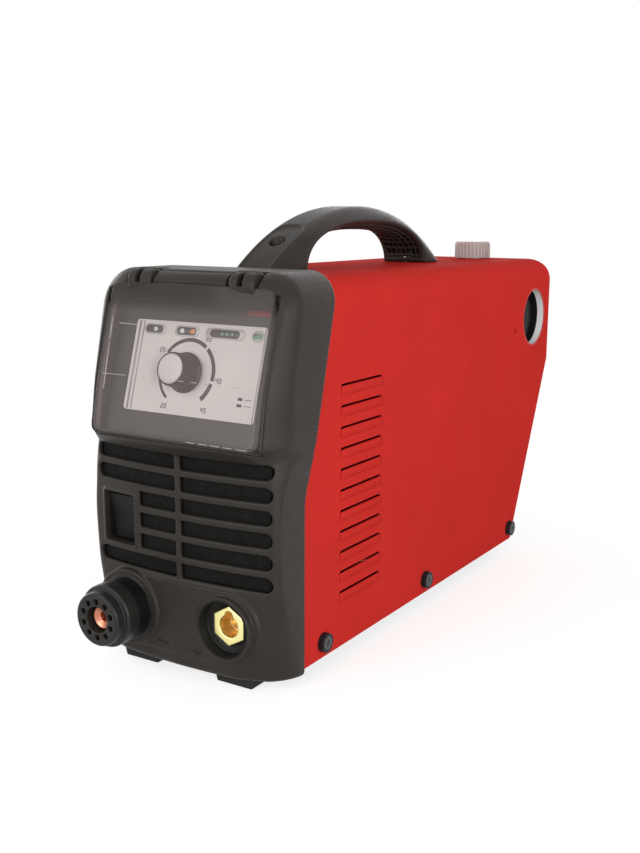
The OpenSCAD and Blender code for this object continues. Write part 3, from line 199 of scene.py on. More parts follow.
def surface(d, lo, step):
    """Points and four-sided faces of the surface where a distance field is 0"""
    inside = d < 0
    n = np.array(d.shape) - 1
    filled = np.zeros(n, np.int8)
    for i, j, k in np.ndindex(2, 2, 2):
        filled += inside[i:i + n[0], j:j + n[1], k:k + n[2]]
    cells = np.argwhere((filled > 0) & (filled < 8))
    number = np.full(n, -1, np.int32)
    number[tuple(cells.T)] = np.arange(len(cells))
    ring = ((1, 1), (0, 1), (0, 0), (1, 0))
    faces = []
    for axis in range(3):
        others = [(axis + 1) % 3, (axis + 2) % 3]
        first = np.take(inside, range(n[axis]), axis)
        second = np.take(inside, range(1, n[axis] + 1), axis)
        for sign in (True, False):
            edges = np.argwhere((first == sign) & (second != sign))
            edges = edges[np.all((edges[:, others] > 0) & (edges[:, others] < n[others]), axis=1)]
            back = np.zeros((4, 3), int)
            back[:, others] = ring if sign else ring[::-1]
            faces.append(np.stack([number[tuple((edges - corner).T)] for corner in back], 1))
    return cell_points(d, cells) * step + np.array(lo), np.concatenate(faces)


# Making pieces
def add_object(name, data):
    """A new object in the scene"""
    made = bpy.data.objects.new(name, data)
    bpy.context.scene.collection.objects.link(made)
    return made


def quads(number):
    """Four-sided faces between the rows and columns of a table of point numbers"""
    return np.stack([number[:-1, :-1], number[:-1, 1:], number[1:, 1:], number[1:, :-1]], -1).reshape(-1, 4)


def add_piece(name, points, faces, body, finish, *stands_for):
    """A smooth mesh that rides on a body and stands for frame nodes"""
    mesh = bpy.data.meshes.new(name)
    mesh.from_pydata(np.asarray(points).tolist(), [], [list(map(int, f)) for f in faces])
    mesh.shade_smooth()
    piece = add_object(name, mesh)
    mesh.materials.append(finish)
    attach(piece, body)
    if stands_for:
        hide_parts(*stands_for)
    return piece


def modify(piece, kind, **values):
    """Adds a modifier"""
    modifier = piece.modifiers.new(kind.lower(), kind)
    for key, value in values.items():
        setattr(modifier, key, value)


def bake(piece, kind, **values):
    """Puts the result of a modifier into a piece's mesh"""
    modify(piece, kind, **values)
    graph = bpy.context.evaluated_depsgraph_get()
    mesh = bpy.data.meshes.new_from_object(piece.evaluated_get(graph))
    piece.modifiers.clear()
    piece.data = mesh


def drop_crumbs(piece):
    """Removes faces without area, and loose crumbs of a few faces"""
    mesh = bmesh.new()
    mesh.from_mesh(piece.data)
    bmesh.ops.dissolve_degenerate(mesh, dist=SAME_POINT * MM, edges=mesh.edges)
    bmesh.ops.triangulate(mesh, faces=mesh.faces)
    left, crumbs = set(mesh.faces), []
    while left:
        group, front = [], [left.pop()]
        while front:
            face = front.pop()
            group.append(face)
            plain = [edge for edge in face.edges if len(edge.link_faces) == 2]
            beside = {other for edge in plain for other in edge.link_faces} & left
            left -= beside
            front.extend(beside)
        if len(group) < CRUMB:
            crumbs.extend(group)
    bmesh.ops.delete(mesh, geom=crumbs, context="FACES")
    mesh.to_mesh(piece.data)
    mesh.free()


def add_field(name, d, lo, step, body, finish, share, *stands_for):
    """A piece from a distance field, with a share of its dense faces kept"""
    points, faces = surface(d, lo, step)
    piece = add_piece(name, to_frame(points), faces, body, finish, *stands_for)
    bake(piece, "DECIMATE", ratio=share, use_collapse_triangulate=True)
    drop_crumbs(piece)
    return piece


# Materials
NOISE_RANGE = (0.3, 0.7)  # where most of a noise's values lie
NOISE_ROUGHNESS = 0.55
RED = (0.6, 0.032, 0.026)
BLACK = (0.005, 0.0045, 0.004)
# Painted highlight on the handle: its colour turns paler towards the top of the grip between these heights
GRIP_SHADE_Z, GRIP_HIGHLIGHT_Z = 256, 276  # heights between which the handle turns paler


def fill(tree, node, inputs):
    """Sets inputs of a node, or links them where a socket is given"""
    for key, value in inputs.items():
        if isinstance(value, bpy.types.NodeSocket):
            tree.links.new(value, node.inputs[key])
        else:
            node.inputs[key].default_value = value


def add_node(tree, kind, output, inputs, **values):
    """Adds a node and gives one of its outputs"""
    node = tree.nodes.new(kind)
    for key, value in values.items():
        setattr(node, key, value)
    fill(tree, node, inputs)
    return node.outputs[output]


def ranged(tree, source, low, high, start=0, end=1, easing="LINEAR"):
    """Numbers from low to high as a source goes from start to end"""
    inputs = {"Value": source, "From Min": start, "From Max": end, "To Min": low, "To Max": high}
    return add_node(tree, "ShaderNodeMapRange", "Result", inputs, interpolation_type=easing)


class Finish:
    """A material whose colour, roughness and bump come from nodes in the object's own space"""

    def __init__(self, name, roughness, metallic=0.0, **sockets):
        self.material = bpy.data.materials.new(name)
        self.material.use_nodes = True
        self.tree = self.material.node_tree
        self.shader = self.tree.nodes["Principled BSDF"]
        self.look(Roughness=roughness, Metallic=metallic, **sockets)
        self.place = self.add("ShaderNodeTexCoord", "Object", {})

    def look(self, **sockets):
        """Sets or links inputs of the shader"""
        fill(self.tree, self.shader, {key.replace("_", " "): value for key, value in sockets.items()})
        return self

    def add(self, kind, output, inputs, **values):
        return add_node(self.tree, kind, output, inputs, **values)

    def stretched(self, scale):
        """Object coordinates scaled on each axis"""
        return self.add("ShaderNodeMapping", "Vector", {"Scale": scale, "Vector": self.place})

    def noise(self, per_metre, detail, vector=None):
        inputs = {"Scale": per_metre, "Detail": detail, "Roughness": NOISE_ROUGHNESS, "Vector": vector or self.place}
        return self.add("ShaderNodeTexNoise", "Fac", inputs)

    def ramp(self, factor, colours, places=NOISE_RANGE):
        """Colours that lie at their places along a factor"""
        ramp = self.add("ShaderNodeValToRGB", "Color", {"Fac": factor})
        stops = ramp.node.color_ramp.elements
        for place in places[1:-1]:
            stops.new(place)
        for stop, place, colour in zip(stops, places, colours):
            stop.position, stop.color = place, (*colour, 1)
        return ramp

    def spread(self, factor, low, high):
        """Numbers from low to high as a noise goes over its usual range"""
        return ranged(self.tree, factor, low, high, *NOISE_RANGE)

    def along(self, axis, start, end, easing="LINEAR"):
        """0 to 1 as a coordinate of the object's own space goes from start to end, in millimetres"""
        place = self.add("ShaderNodeSeparateXYZ", axis, {"Vector": self.place})
        return ranged(self.tree, place, 0, 1, start * MM, end * MM, easing)

    def mix(self, factor, a, b):
        """Colour between a and b; each is a socket or three numbers"""
        a, b = ((*c, 1) if isinstance(c, tuple) else c for c in (a, b))
        return self.add("ShaderNodeMix", 2, {0: factor, 6: a, 7: b}, data_type="RGBA")

    def skin(self, rough, height, depth):
        """The material, with a roughness and a bump of a depth in millimetres"""
        bump = {"Distance": depth * MM, "Strength": 1.0, "Height": height}
        return self.look(Roughness=rough, Normal=self.add("ShaderNodeBump", "Normal", bump)).material


def shades(colour, amount):
    """A darker and a lighter shade of a colour"""
    return [tuple(min(1.0, c * (1 + s * amount)) for c in colour) for s in (-1, 1)]


def moulded(name, colour, roughness, grain=0.05, vary=0.12, shine=0.24):
    """Moulded plastic with a fine spark-eroded grain and faint handling marks"""
    f = Finish(name, roughness, Specular_IOR_Level=shine)
    f.look(Base_Color=f.ramp(f.noise(35, 4), shades(colour, vary)))
    return f.skin(f.spread(f.noise(420, 4), roughness - 0.06, roughness + 0.08), f.noise(2600, 2), grain)


def painted(name, colour, roughness):
    """Powder coat with a faint orange peel"""
    f = Finish(name, roughness, Specular_IOR_Level=0.004)
    f.look(Base_Color=f.ramp(f.noise(18, 5), shades(colour, 0.05)))
    return f.skin(f.spread(f.noise(260, 3), roughness - 0.05, roughness + 0.06), f.noise(850, 2), 0.02)


def machined(name, colour, roughness, along=(1, 1, 40)):
    """Metal with fine tool marks across one direction"""
    f = Finish(name, roughness, 1.0)
    f.look(Base_Color=f.ramp(f.noise(60, 4), shades(colour, 0.1)))
    marks = f.noise(90, 4, f.stretched(along))
    return f.skin(f.spread(marks, roughness - 0.08, roughness + 0.1), marks, 0.015)


def rubbery(name, colour):
    """Matt rubber with a dusty bloom"""
    f = Finish(name, 0.8, Specular_IOR_Level=0.15)
    f.look(Base_Color=f.ramp(f.noise(70, 5), shades(colour, 0.3)))
    return f.skin(f.spread(f.noise(300, 3), 0.7, 0.9), f.noise(1500, 3), 0.04)


def grip_finish():
    """The handle's plastic, paler along the top of the grip: a painted highlight"""
    f = Finish("grip_plastic", 0.42, Specular_IOR_Level=0.15)
    broad = f.noise(35, 4)
    dark = f.ramp(broad, shades((0.023, 0.019, 0.0162), 0.12))
    pale = f.ramp(broad, shades((0.056, 0.05, 0.0465), 0.1))
    # Painted highlight: dark below, pale along the top of the grip
    f.look(Base_Color=f.mix(f.along("Z", GRIP_SHADE_Z, GRIP_HIGHLIGHT_Z), dark, pale))
    return f.skin(f.spread(f.noise(420, 4), 0.36, 0.5), f.noise(2600, 2), 0.05)


charcoal = moulded("charcoal_plastic", (0.03, 0.0247, 0.021), 0.42, shine=0.15)
red_paint = painted("red_paint", RED, 0.75)


# Front bezel
CAVITY_HALF = HALF_W - 4.15
CAVITY_TOP = CASE_H - 4.15
TONGUE_T = 2.5
NOTCH_R = NOSE_R + 4
NOTCH_W = 21
EAR_X = 37
ARCH_R = 20
SLOT_RIGHT, SLOT_LEFT, SLOT_END_R, SLOT_CORNER_R = 65, 62.5, 4.2, 0.8
RIB_X = 2.5
FRAME_X, FRAME_Z, FRAME_HALF_W, FRAME_HALF_H = 44, 91.3, 14.8, 16.9
SWITCH_HALF_W, SWITCH_HALF_H = 12.9, 15.4
NOSE_FRONT_R = 5.8
TORCH_HOLE_R, CUP_R, HOLE_DEPTH = 14.2, 17.4, 20
HEX_Y = 4.2
WELL_FOOT = 4.5
WELL_CORNER_R = 3
# Thickness of the dark sheet of painted shade on the walls round the panel
SHADE_SHEET_T = 0.9
FILTER_FOOT, FILTER_TOP, FILTER_T = 62.2, 136.8, 3
SHELF = 8.5
PLATEAU_R, PLATEAU_RISE, FRAME_RISE = 22.5, 1.5, 1.1
PADS = ((-1, 23.4, -2.6), (1, 19.4, -2.3))  # side, radius and front of each socket's pad
BEZEL_STEP = 0.8
# Heights, and the radius of the bezel's upright edges at each
EDGE_RADII = (
    (FOOT_H, CHIN_R), (SOCKET_Z, 14), (SLOT_Z - 5, 6), (APRON_H - 24, APRON_EDGE_R), (APRON_H - 14, APRON_EDGE_R),
    (APRON_H + 6, 7), (FACE_TOP, 12.5), (LIP_H - LIP_BAND, LIP_EDGE_R), (LIP_H, LIP_EDGE_R),
    (LIP_H + 24, HOOD_EDGE_R), (BEZEL_TOP - ARCH_R, FRONT_EDGE_R))


def front_depth(z, step=BEZEL_STEP):
    """Depth of the front's middle: grille face, slope, lip and leaning hood"""
    crest = BEZEL_TOP + 20
    heights = [0, FACE_TOP, LIP_H - LIP_BAND, LIP_H, crest]
    depths = [0, 0, -LIP_REACH, -LIP_REACH, (crest - LIP_H) * math.tan(HOOD_LEAN) - LIP_REACH]
    return soften(np.interp(z, heights, depths), step, 1.6)


def rear_depth(z):
    """Depth of the bezel's rear edge, which leans back above the grille"""
    return soften(BEZEL_DEPTH + np.maximum(z - REAR_EDGE_H, 0) * math.tan(REAR_EDGE_LEAN), BEZEL_STEP, 4)


def bezel_form(x, y, z, step=BEZEL_STEP):
    """The bezel's outer form: bowed front, flared hood, rounded top corners"""
    depth = front_depth(z, step)
    slope = np.gradient(depth.ravel(), step).reshape(depth.shape)
    front = (depth + bow(x) - y) / np.sqrt(1 + slope ** 2)
    halves = np.interp(z, [0, APRON_H - 4, LIP_H - LIP_BAND, BEZEL_TOP], [APRON_HALF] * 2 + [HOOD_HALF] * 2)
    arch = both(np.abs(x) - soften(halves, step, 4), z - BEZEL_TOP, ARCH_R)
    edge_r = soften(np.interp(z, *zip(*EDGE_RADII)), step, 4)
    drop = CHIN_DROP * np.clip(y / BEZEL_DEPTH, 0, 1) * np.clip((np.abs(x) - CHIN_X) / 6, 0, 1)
    return both(both(front, arch, edge_r), FOOT_H - drop - z, 3)


def grille_slots(x, z):
    """Outlines of the grille's slots: square at the rib and the switch, round at the sides"""
    cuts = []
    for i in range(SLOT_ROWS):
        at = SLOT_Z + i * SLOT_PITCH
        beside = abs(at - FRAME_Z) < FRAME_HALF_H + SLOT_H / 2 - 1
        left_end = FRAME_HALF_W + 1.6 - FRAME_X if beside else -SLOT_LEFT
        for near, far in ((RIB_X + RIB_W / 2, SLOT_RIGHT), (RIB_X - RIB_W / 2, left_end)):
            middle, half = (near + far) / 2, abs(far - near) / 2
            end_r = SLOT_CORNER_R if far == left_end and beside else SLOT_END_R
            cuts.append(bar(x - middle, z - at, half, SLOT_H / 2, end_r))
            cuts.append(bar(x - (near + middle) / 2, z - at, half / 2, SLOT_H / 2, SLOT_CORNER_R))
    return join(*cuts)


def raised_parts(x, y, z):
    """Plateau and pads of the sockets, and the switch's frame"""
    outline = bar(x, z - SOCKET_Z, SOCKET_X + PLATEAU_R, PLATEAU_R, PLATEAU_R - 0.1)
    plateau = meet(both(outline, bow(x) - PLATEAU_RISE - y, 1.0), y - bow(x) - 2)
    rim = bar(x + FRAME_X, z - FRAME_Z, FRAME_HALF_W, FRAME_HALF_H, 2.5)
    parts = join(plateau, meet(both(rim, bow(x) - FRAME_RISE - y, 0.7), y - bow(x) - 6))
    for side, r, front in PADS:
        disc = np.hypot(x - side * SOCKET_X, z - SOCKET_Z) - r
        parts = join(parts, meet(both(disc, front - y, 0.9), y - 7))
    return parts


def bezel_room(form, x, u, v, z):
    """The hollow behind the grille and behind the control panel"""
    behind_hood = meet(-SHELF - u, v - PANEL_DEPTH - 2)
    return meet(form + BEZEL_WALL, -behind_hood, np.abs(x) - CAVITY_HALF, z - CAVITY_TOP)


def bezel_tongue(x, y, z):
    """The lip that slides into the cover"""
    arch = both(np.abs(x) - (CAVITY_HALF + TONGUE_T), z - CAVITY_TOP - TONGUE_T, 16)
    return meet(arch, -arch - TONGUE_T, np.abs(y - rear_depth(z) - 1) - 5, FOOT_H + 6 - z)


def well_outline(x, u):
    """Outline of the well that the control panel lies in"""
    return bar(x, u - (WELL_TOP_U - WELL_FOOT) / 2, WELL_HALF, (WELL_TOP_U + WELL_FOOT) / 2, WELL_CORNER_R)


def front_bezel():
    lo, hi = (-HOOD_HALF - 3, -15, FOOT_H - CHIN_DROP - 4), (HOOD_HALF + 3, 78, BEZEL_TOP + 4)
    x, y, z = space(lo, hi, BEZEL_STEP)
    v, u = hood_place(y, z)
    form = bezel_form(x, y, z)
    d = meet(form, -bezel_room(form, x, u, v, z))
    d = either(d, raised_parts(x, y, z), 0.8)
    slot_floor = front_depth(z) + bow(x) + BEZEL_WALL + 3
    d = without(d, meet(grille_slots(x, z), y - slot_floor), 1.0)
    from_hinge = np.hypot(y - HINGE_Y, z - HINGE_Z)
    well = meet(well_outline(x, u), v - np.where(u > -1, PANEL_DEPTH + 3, PANEL_DEPTH - 4))
    under_nose = meet(NOSE_FRONT_R - from_hinge, v - HINGE_V, -u, np.abs(x) - WELL_HALF)
    d = without(d, join(well, under_nose), 0.7)
    for side in (-1, 1):
        d = without(d, meet(from_hinge - NOTCH_R, np.abs(x - side * EAR_X) - NOTCH_W / 2), 0.6)
    switch = bar(x + FRAME_X, z - FRAME_Z, SWITCH_HALF_W, SWITCH_HALF_H, 1.2)
    torch_hole = np.hypot(x + SOCKET_X, z - SOCKET_Z) - TORCH_HOLE_R
    earth_hole = np.hypot(x - SOCKET_X, z - SOCKET_Z) - CUP_R
    d = without(d, meet(join(switch, torch_hole, earth_hole), y - HOLE_DEPTH), 0.5)
    d = both(d, y - rear_depth(z), 1.0)
    d = join(d, bezel_tongue(x, y, z))
    shell = add_field("bezel_shell", d, lo, BEZEL_STEP, "chassis", charcoal, 0.35, "front_bezel")


def well_shade_sheet():
    """A dark sheet on the walls that stand round the control panel: painted shade of the narrow gap beside the cover
    """
    step = 0.45
    lo = (-WELL_HALF - 2, -LIP_REACH, LIP_H - 14)
    x, y, z = space(lo, (WELL_HALF + 2, 34, HINGE_Z), step)
    v, u = hood_place(y, z)
    wall = well_outline(x, u)
    front = bow(x) * COS + np.where(u > WELL_TOP_U - 5, 7, 1.5)
    rear = np.where(u > -1, PANEL_DEPTH - 0.1, PANEL_DEPTH - 4.2)
    d = meet(wall + 0.05, -wall - SHADE_SHEET_T, front - v, v - rear, bezel_form(x, y, z, step) + 1.2)
    shade_sheet = add_field("well_shade_sheet", d, lo, step, "chassis", panel_plastic, 0.4)


def filter_sheet():
    """Foam that lies against the inside of the grille; its near black is partly the foam's own colour and partly
    painted shade of the room behind the slots
    """
    lo = (-CAVITY_HALF - 2, -12, FILTER_FOOT - 3)
    x, y, z = space(lo, (CAVITY_HALF + 2, 20, FILTER_TOP + 3), BEZEL_STEP)
    form = bezel_form(x, y, z) + BEZEL_WALL + 0.2
    middle, half = (FILTER_FOOT + FILTER_TOP) / 2, (FILTER_TOP - FILTER_FOOT) / 2
    d = meet(form, -form - FILTER_T, bar(x, z - middle, CAVITY_HALF - 0.4, half, 1))
    round_switch = bar(x + 60, z - SWITCH_Z, 60 - SWITCH_X + 15, 19, 1)
    d = meet(d, y - front_depth(z) - bow(x) - 9, -round_switch)
    sheet = add_field("filter_sheet", d, lo, BEZEL_STEP, "chassis", foam_and_shade, 0.5, "dust_filter")


# Mains switch: half width, half height and corner of its case and of the room in it, and its blades' heights
CASE_FORM, ROOM_FORM = (13, 17, 2), (11.8, 15.6, 1)
BLADES_Z = (-9, 0, 9)


def switch_case():
    """The switch's housing, with its blades behind"""
    step = 0.6
    lo = (-SWITCH_X - 15, 1, FRAME_Z - 19)
    x, y, z = space(lo, (-SWITCH_X + 15, 41, FRAME_Z + 19), step)
    p, q = x + SWITCH_X, z - SWITCH_Z
    shell = meet(bar(p, q, *CASE_FORM), np.abs(y - 18.8) - 11.8)
    d = without(shell, meet(bar(p, q, *ROOM_FORM), y - 26), 0.5)
    for at in BLADES_Z:
        d = join(d, meet(np.abs(p) - 3, np.abs(q - at) - 0.7, np.abs(y - 33.5) - 5))
    housing = add_field("switch_case", d, lo, step, "chassis", socket_plastic, 0.4, "switch_housing")


# Sockets, with t going out from the pad
PAD_Y = -0.3
TORCH_FACE = 29.2
TORCH_COLLAR = 12.4
TORCH_MOUTH_R, TORCH_MOUTH_T = 8, 22.4
PINS, PIN_CIRCLE, PIN_HOLE_R = 10, 11, 1.75
HEX_R, EARTH_BORE_R = 12.3, 6.6
KEY_UP, KEY_R = 6.2, 2.9
# Steps of the torch socket: radius, start and end, edge
TORCH_STEPS = ((20.4, -1, 2.6, 0.8), (18.7, 0, 13, 0.3), (19.1, TORCH_COLLAR, TORCH_MOUTH_T, 1.6),
               (16.3, 15, TORCH_FACE, 1.7), (14, -26, 3, 0.5), (4, -42, -20, 0.4))
# Profiles of turned pieces: radius and height
TORCH_TUBE = ((2.6, 22.6), (2.9, 23), (4, 23.2), (5, 23.5), (6, 24.2), (6.5, 24.4), (6.9, 24.1), (7, 23.4),
              (7, 22.5), (4.95, 22.5), (4.95, 20), (4.95, 4), (2.6, 4), (2.6, 12))
EARTH_CUP = ((10.2, -6), (15.4, -6), (16.2, -5.7), (16.6, -5), (16.7, 1.6), (17, 2.2), (17.5, 2.4), (17.9, 2.1),
             (18, 1.6), (18, -7.4), (17.6, -7.8), (10.2, -7.8))


def torch_body():
    step = 0.5
    lo = (-SOCKET_X - 22, PAD_Y - TORCH_FACE - 1.5, SOCKET_Z - 22)
    x, y, z = space(lo, (-SOCKET_X + 22, 43.5, SOCKET_Z + 22), step)
    p, q = x + SOCKET_X, z - SOCKET_Z
    r = np.hypot(p, q)
    t = PAD_Y - y
    d = join(*(both(r - radius, np.abs(t - (low + high) / 2) - (high - low) / 2, edge)
               for radius, low, high, edge in TORCH_STEPS))
    d = without(d, meet(r - TORCH_MOUTH_R, TORCH_MOUTH_T - t), 0.5)
    d = meet(d, join(5.1 - r, t - 4))
    for i in range(PINS):
        a = math.radians(18 + 360 / PINS * i)
        hole = np.hypot(p - PIN_CIRCLE * math.cos(a), q - PIN_CIRCLE * math.sin(a)) - PIN_HOLE_R
        d = without(d, meet(hole, 11 - t), 0.3)
    body = add_field("torch_body", d, lo, step, "chassis", torch_finish(), 0.4, "torch_socket")
    contact = turned("torch_tip", TORCH_TUBE, (-SOCKET_X, PAD_Y, SOCKET_Z), (0, -1, 0), "chassis", copper, 64, None,
                     "torch_contact")


def earth_pocket():
    """The earth socket's cup, and its hexagonal brass insert at the bottom"""
    # The cup's near black is painted shade of the deep pocket
    piece = turned("earth_cup", EARTH_CUP, (SOCKET_X, 0, SOCKET_Z), (0, -1, 0), "chassis", black_and_pit_shade, 96, None,
                   "earth_socket")
    step = 0.45
    lo = (SOCKET_X - 14, HEX_Y - 1.5, SOCKET_Z - 14)
    x, y, z = space(lo, (SOCKET_X + 14, 43, SOCKET_Z + 14), step)
    p, q = x - SOCKET_X, z - SOCKET_Z
    r = np.hypot(p, q)
    lean = math.sqrt(3) / 2
    flats = meet(np.abs(p), np.abs(p / 2 + lean * q), np.abs(p / 2 - lean * q))
    d = both(flats - HEX_R * lean, np.abs(y - HEX_Y - 3) - 3, 0.6)
    d = join(d, both(r - 10, np.abs(y - 18) - 11.6, 0.4), both(r - 5, np.abs(y - 33) - 8.6, 0.4))
    bore = join(r - EARTH_BORE_R, np.hypot(p, q - KEY_UP) - KEY_R)
    d = without(d, meet(bore, y - 15), 0.5)
    insert = add_field("earth_hex", d, lo, step, "chassis", insert_finish(), 0.4, "earth_insert")


# Flip cover
COVER_HALF = WELL_HALF - 3
COVER_T = 1.8
COVER_RIM = 5
COVER_EDGE = 1.0
COVER_FOOT_U = -WELL_FOOT + SHADE_SHEET_T + 0.3
COVER_TOP_U = HINGE_U - 2.6
COVER_FOOT_R, COVER_TOP_R = 5, 3
RIDGE_HALF, RIDGE_RISE = 0.2, 0.12
EAR_R, EAR_HALF_W, EAR_SHIFT = 6.9, 8.6, 0.9


def cover_depth(x, u):
    """Depth of the flip cover's face, which curls in at its foot and its lower corners"""
    corner = np.clip(np.abs(x) - HOOD_HALF + LIP_EDGE_R, 0, LIP_EDGE_R - 1)
    fall = LIP_EDGE_R - np.sqrt(LIP_EDGE_R ** 2 - corner ** 2)
    return bow(x) * COS + SIN * np.maximum(0, 1.5 - u) ** 2 / 8 + 1.3 * fall * np.clip(1 - u / 30, 0, 1) ** 1.5


def corner_inset(u, foot, top, r_foot, r_top):
    """How far a rounded corner draws the edge in at a height"""
    low = np.clip(r_foot - (u - foot), 0, r_foot)
    high = np.clip(r_top - (top - u), 0, r_top)
    return r_foot - np.sqrt(r_foot ** 2 - low ** 2) + r_top - np.sqrt(r_top ** 2 - high ** 2)


def flip_cover():
    rows, cols = 48, 64
    foot, top = COVER_FOOT_U + COVER_EDGE, COVER_TOP_U - COVER_EDGE
    u = foot + (top - foot) * (1 - np.cos(np.linspace(0, math.pi, rows))) / 2
    half = COVER_HALF - COVER_EDGE - corner_inset(u, foot, top, COVER_FOOT_R, COVER_TOP_R)
    x = half[:, None] * np.linspace(-1, 1, cols)
    u = np.broadcast_to(u[:, None], x.shape)
    flat = np.stack([x, u], -1).reshape(-1, 2)
    number = np.arange(rows * cols).reshape(rows, cols)
    faces = [quads(number)]
    loop = np.concatenate([number[0], number[1:, -1], number[-1, -2::-1], number[-2:0:-1, 0]])
    edge = flat[loop]
    along = np.roll(edge, -1, 0) - np.roll(edge, 1, 0)
    out = np.stack([along[:, 1], -along[:, 0]], 1) / np.linalg.norm(along, axis=1)[:, None]
    depth = cover_depth(flat[:, 0], flat[:, 1])
    points = [np.column_stack([flat, depth])]
    rim = np.clip((COVER_TOP_U - 5 - edge[:, 1]) * 1.1, COVER_T, COVER_RIM)
    rings = [(math.sin(a), (1 - math.cos(a)) * COVER_EDGE) for a in np.linspace(0, math.pi / 2, 5)[1:]]
    last = loop
    for k in range(len(rings) + 3):
        reach, drop = rings[min(k, len(rings) - 1)]
        extra = np.maximum(rim - drop, 0) * max(0, k - len(rings) + 1) / 3
        points.append(np.column_stack([edge + out * reach * COVER_EDGE, depth[loop] + drop + extra]))
        this = np.arange(len(loop)) + sum(len(p) for p in points[:-1])
        faces.append(quads(np.pad([this, last], ((0, 0), (0, 1)), mode="wrap")))
        last = this
    flat = np.concatenate(points)
    place = np.stack(hood_point(flat[:, 0], flat[:, 2], flat[:, 1]), 1)
    sheet = add_piece("cover_sheet", to_frame(place), np.concatenate(faces), "cover", smoked_sheet(), "flip_cover")
    bake(sheet, "SOLIDIFY", thickness=COVER_T * MM, offset=-1)


def cover_ridges():
    """Fine raised lines on the cover's face, coloured pale as a painted highlight"""
    lines = [(-54, 65, -53.2, 52), (-53, 50, -51.5, 22), (-47, 61.6, -32, 61.2)]
    dashes = [(x, 7) for x in (-55, -48, -41)] + [(x, 4) for x in range(-30, 56, 9)]
    lines += [(x, 30.8 - 0.004 * x, x + length, 30.8 - 0.004 * (x + length)) for x, length in dashes]
    lines += [(x, -2.6, x + 6, -2.6) for x in range(18, 52, 8)]
    shapes = []
    for x0, u0, x1, u1 in lines:
        p, q = np.array((u0 - u1, x1 - x0)) / math.hypot(x1 - x0, u1 - u0) * RIDGE_HALF
        shapes.append([(x0 - p, u0 - q), (x1 - p, u1 - q), (x1 + p, u1 + q), (x0 + p, u0 + q)])
    ridges = inlay("cover_ridges", shapes, cover_depth, RIDGE_RISE, "cover", glint_finish())


def cover_ears():
    """Hinge ears that stand up from the cover into the hood's notches"""
    step = 0.5
    for side in (-1, 1):
        at = side * EAR_X
        lo = (at - 11, HINGE_Y - 14, HINGE_Z - 22)
        x, y, z = space(lo, (at + 13.5, HINGE_Y + 11, HINGE_Z + 10), step)
        v, u = hood_place(y, z)
        from_hinge = np.hypot(y - HINGE_Y, z - HINGE_Z)
        arm = meet(np.abs(v - bow(at) * COS - 2.2) - 1.9, COVER_TOP_U - 3 - u, u - HINGE_U)
        d = both(either(from_hinge - EAR_R, arm, 2.5), np.abs(x - at - EAR_SHIFT) - EAR_HALF_W, 1.0)
        pocket = meet(np.abs(x - at + 0.3) - 1.9, HINGE_U - 2.5 - u, v - HINGE_V + 1, 2.5 - from_hinge)
        d = without(d, pocket, 0.5)
        ear = add_field("cover_ear_" + ("left" if side < 0 else "right"), d, lo, step, "cover", charcoal, 0.5)


# Printed panel
INLAY_SINK = 0.3


def plates(outlines, levels, place):
    """Points and faces of thin plates; place gives the point of a corner at each of two levels"""
    points, faces = [], []
    for outline in outlines:
        first, n = len(points), len(outline)
        points += [place(p, q, level) for level in levels for p, q in outline]
        faces += [range(first, first + n), range(first + 2 * n - 1, first + n - 1, -1)]
        faces += [(first + i, first + n + i, first + n + (i + 1) % n, first + (i + 1) % n) for i in range(n)]
    return points, faces


def inlay(name, outlines, depth, rise, body, finish, *stands_for):
    """Thin raised shapes from outlines in the hood's frame, at a depth or on a surface"""
    def place(x, u, level):
        return hood_point(x, level + (depth(x, u) if callable(depth) else depth), u)

    points, faces = plates(outlines, (-rise, INLAY_SINK), place)
    return add_piece(name, to_frame(points), faces, body, finish, *stands_for)


def strip(x0, u0, x1, u1):
    return [(x0, u0), (x1, u0), (x1, u1), (x0, u1)]


def pill(x, u, width, height, steps=10):
    """A bar with round ends"""
    r = height / 2
    turns = np.linspace(-math.pi / 2, math.pi / 2, steps)
    right = [(x + width / 2 - r + r * math.cos(a), u + r * math.sin(a)) for a in turns]
    return right + [(2 * x - p, 2 * u - q) for p, q in right]


def arc_band(x, u, r, start, end, width_start, width_end, steps=24):
    """Part of a ring, from one angle down to another, that changes width evenly"""
    turns = np.radians(np.linspace(start, end, steps))
    widths = np.linspace(width_start, width_end, steps)
    inner, outer = ([(x + (r + w) * math.cos(a), u + (r + w) * math.sin(a)) for a, w in zip(turns, side)]
                    for side in (-widths / 2, widths / 2))
    return inner + outer[::-1]


STROKES = {"0": "abcdef", "2": "abged", "3": "abgcd", "4": "fgbc", "5": "afgcd"}


def digit(mark, x, u, width=1.7, height=3.0, pen=0.42):
    """Strokes of a dial digit with its lower left corner at x, u"""
    half = height / 2
    spans = {
        "a": (0, height - pen, width, height), "d": (0, 0, width, pen),
        "g": (0, half - pen / 2, width, half + pen / 2),
        "b": (width - pen, half, width, height), "c": (width - pen, 0, width, half),
        "f": (0, half, pen, height), "e": (0, 0, pen, half)}
    return [strip(x + a, u + b, x + c, u + d) for a, b, c, d in (spans[k] for k in STROKES[mark])]


KNOB_X, KNOB_U = -4.5, 37.8
LABEL_DEPTH = PANEL_DEPTH - 0.5
LABEL_FOOT, LABEL_TOP = 12.7, 67.7
# Indicator lamps: place, frame's width and body's width; then colour, and place and width of each lens
LAMPS = ((-33.3, 16, 13), (-9, 18, 14), (18.9, 28, 21), (42, 8, 7))
LAMP_U = 62.3
LENSES = (
    ("lamp_white", (0.75, 0.75, 0.72), ((-32.4, 3.0), (-12.4, 3.4))),
    ("lamp_amber", (0.75, 0.3, 0.12), ((-4.6, 4.0),)),
    ("lamp_green", (0.2, 0.34, 0.22), ((17.0, 2.2), (20.5, 2.2), (24.0, 2.2), (42, 6.4))))
PRINT_RISE = 0.1
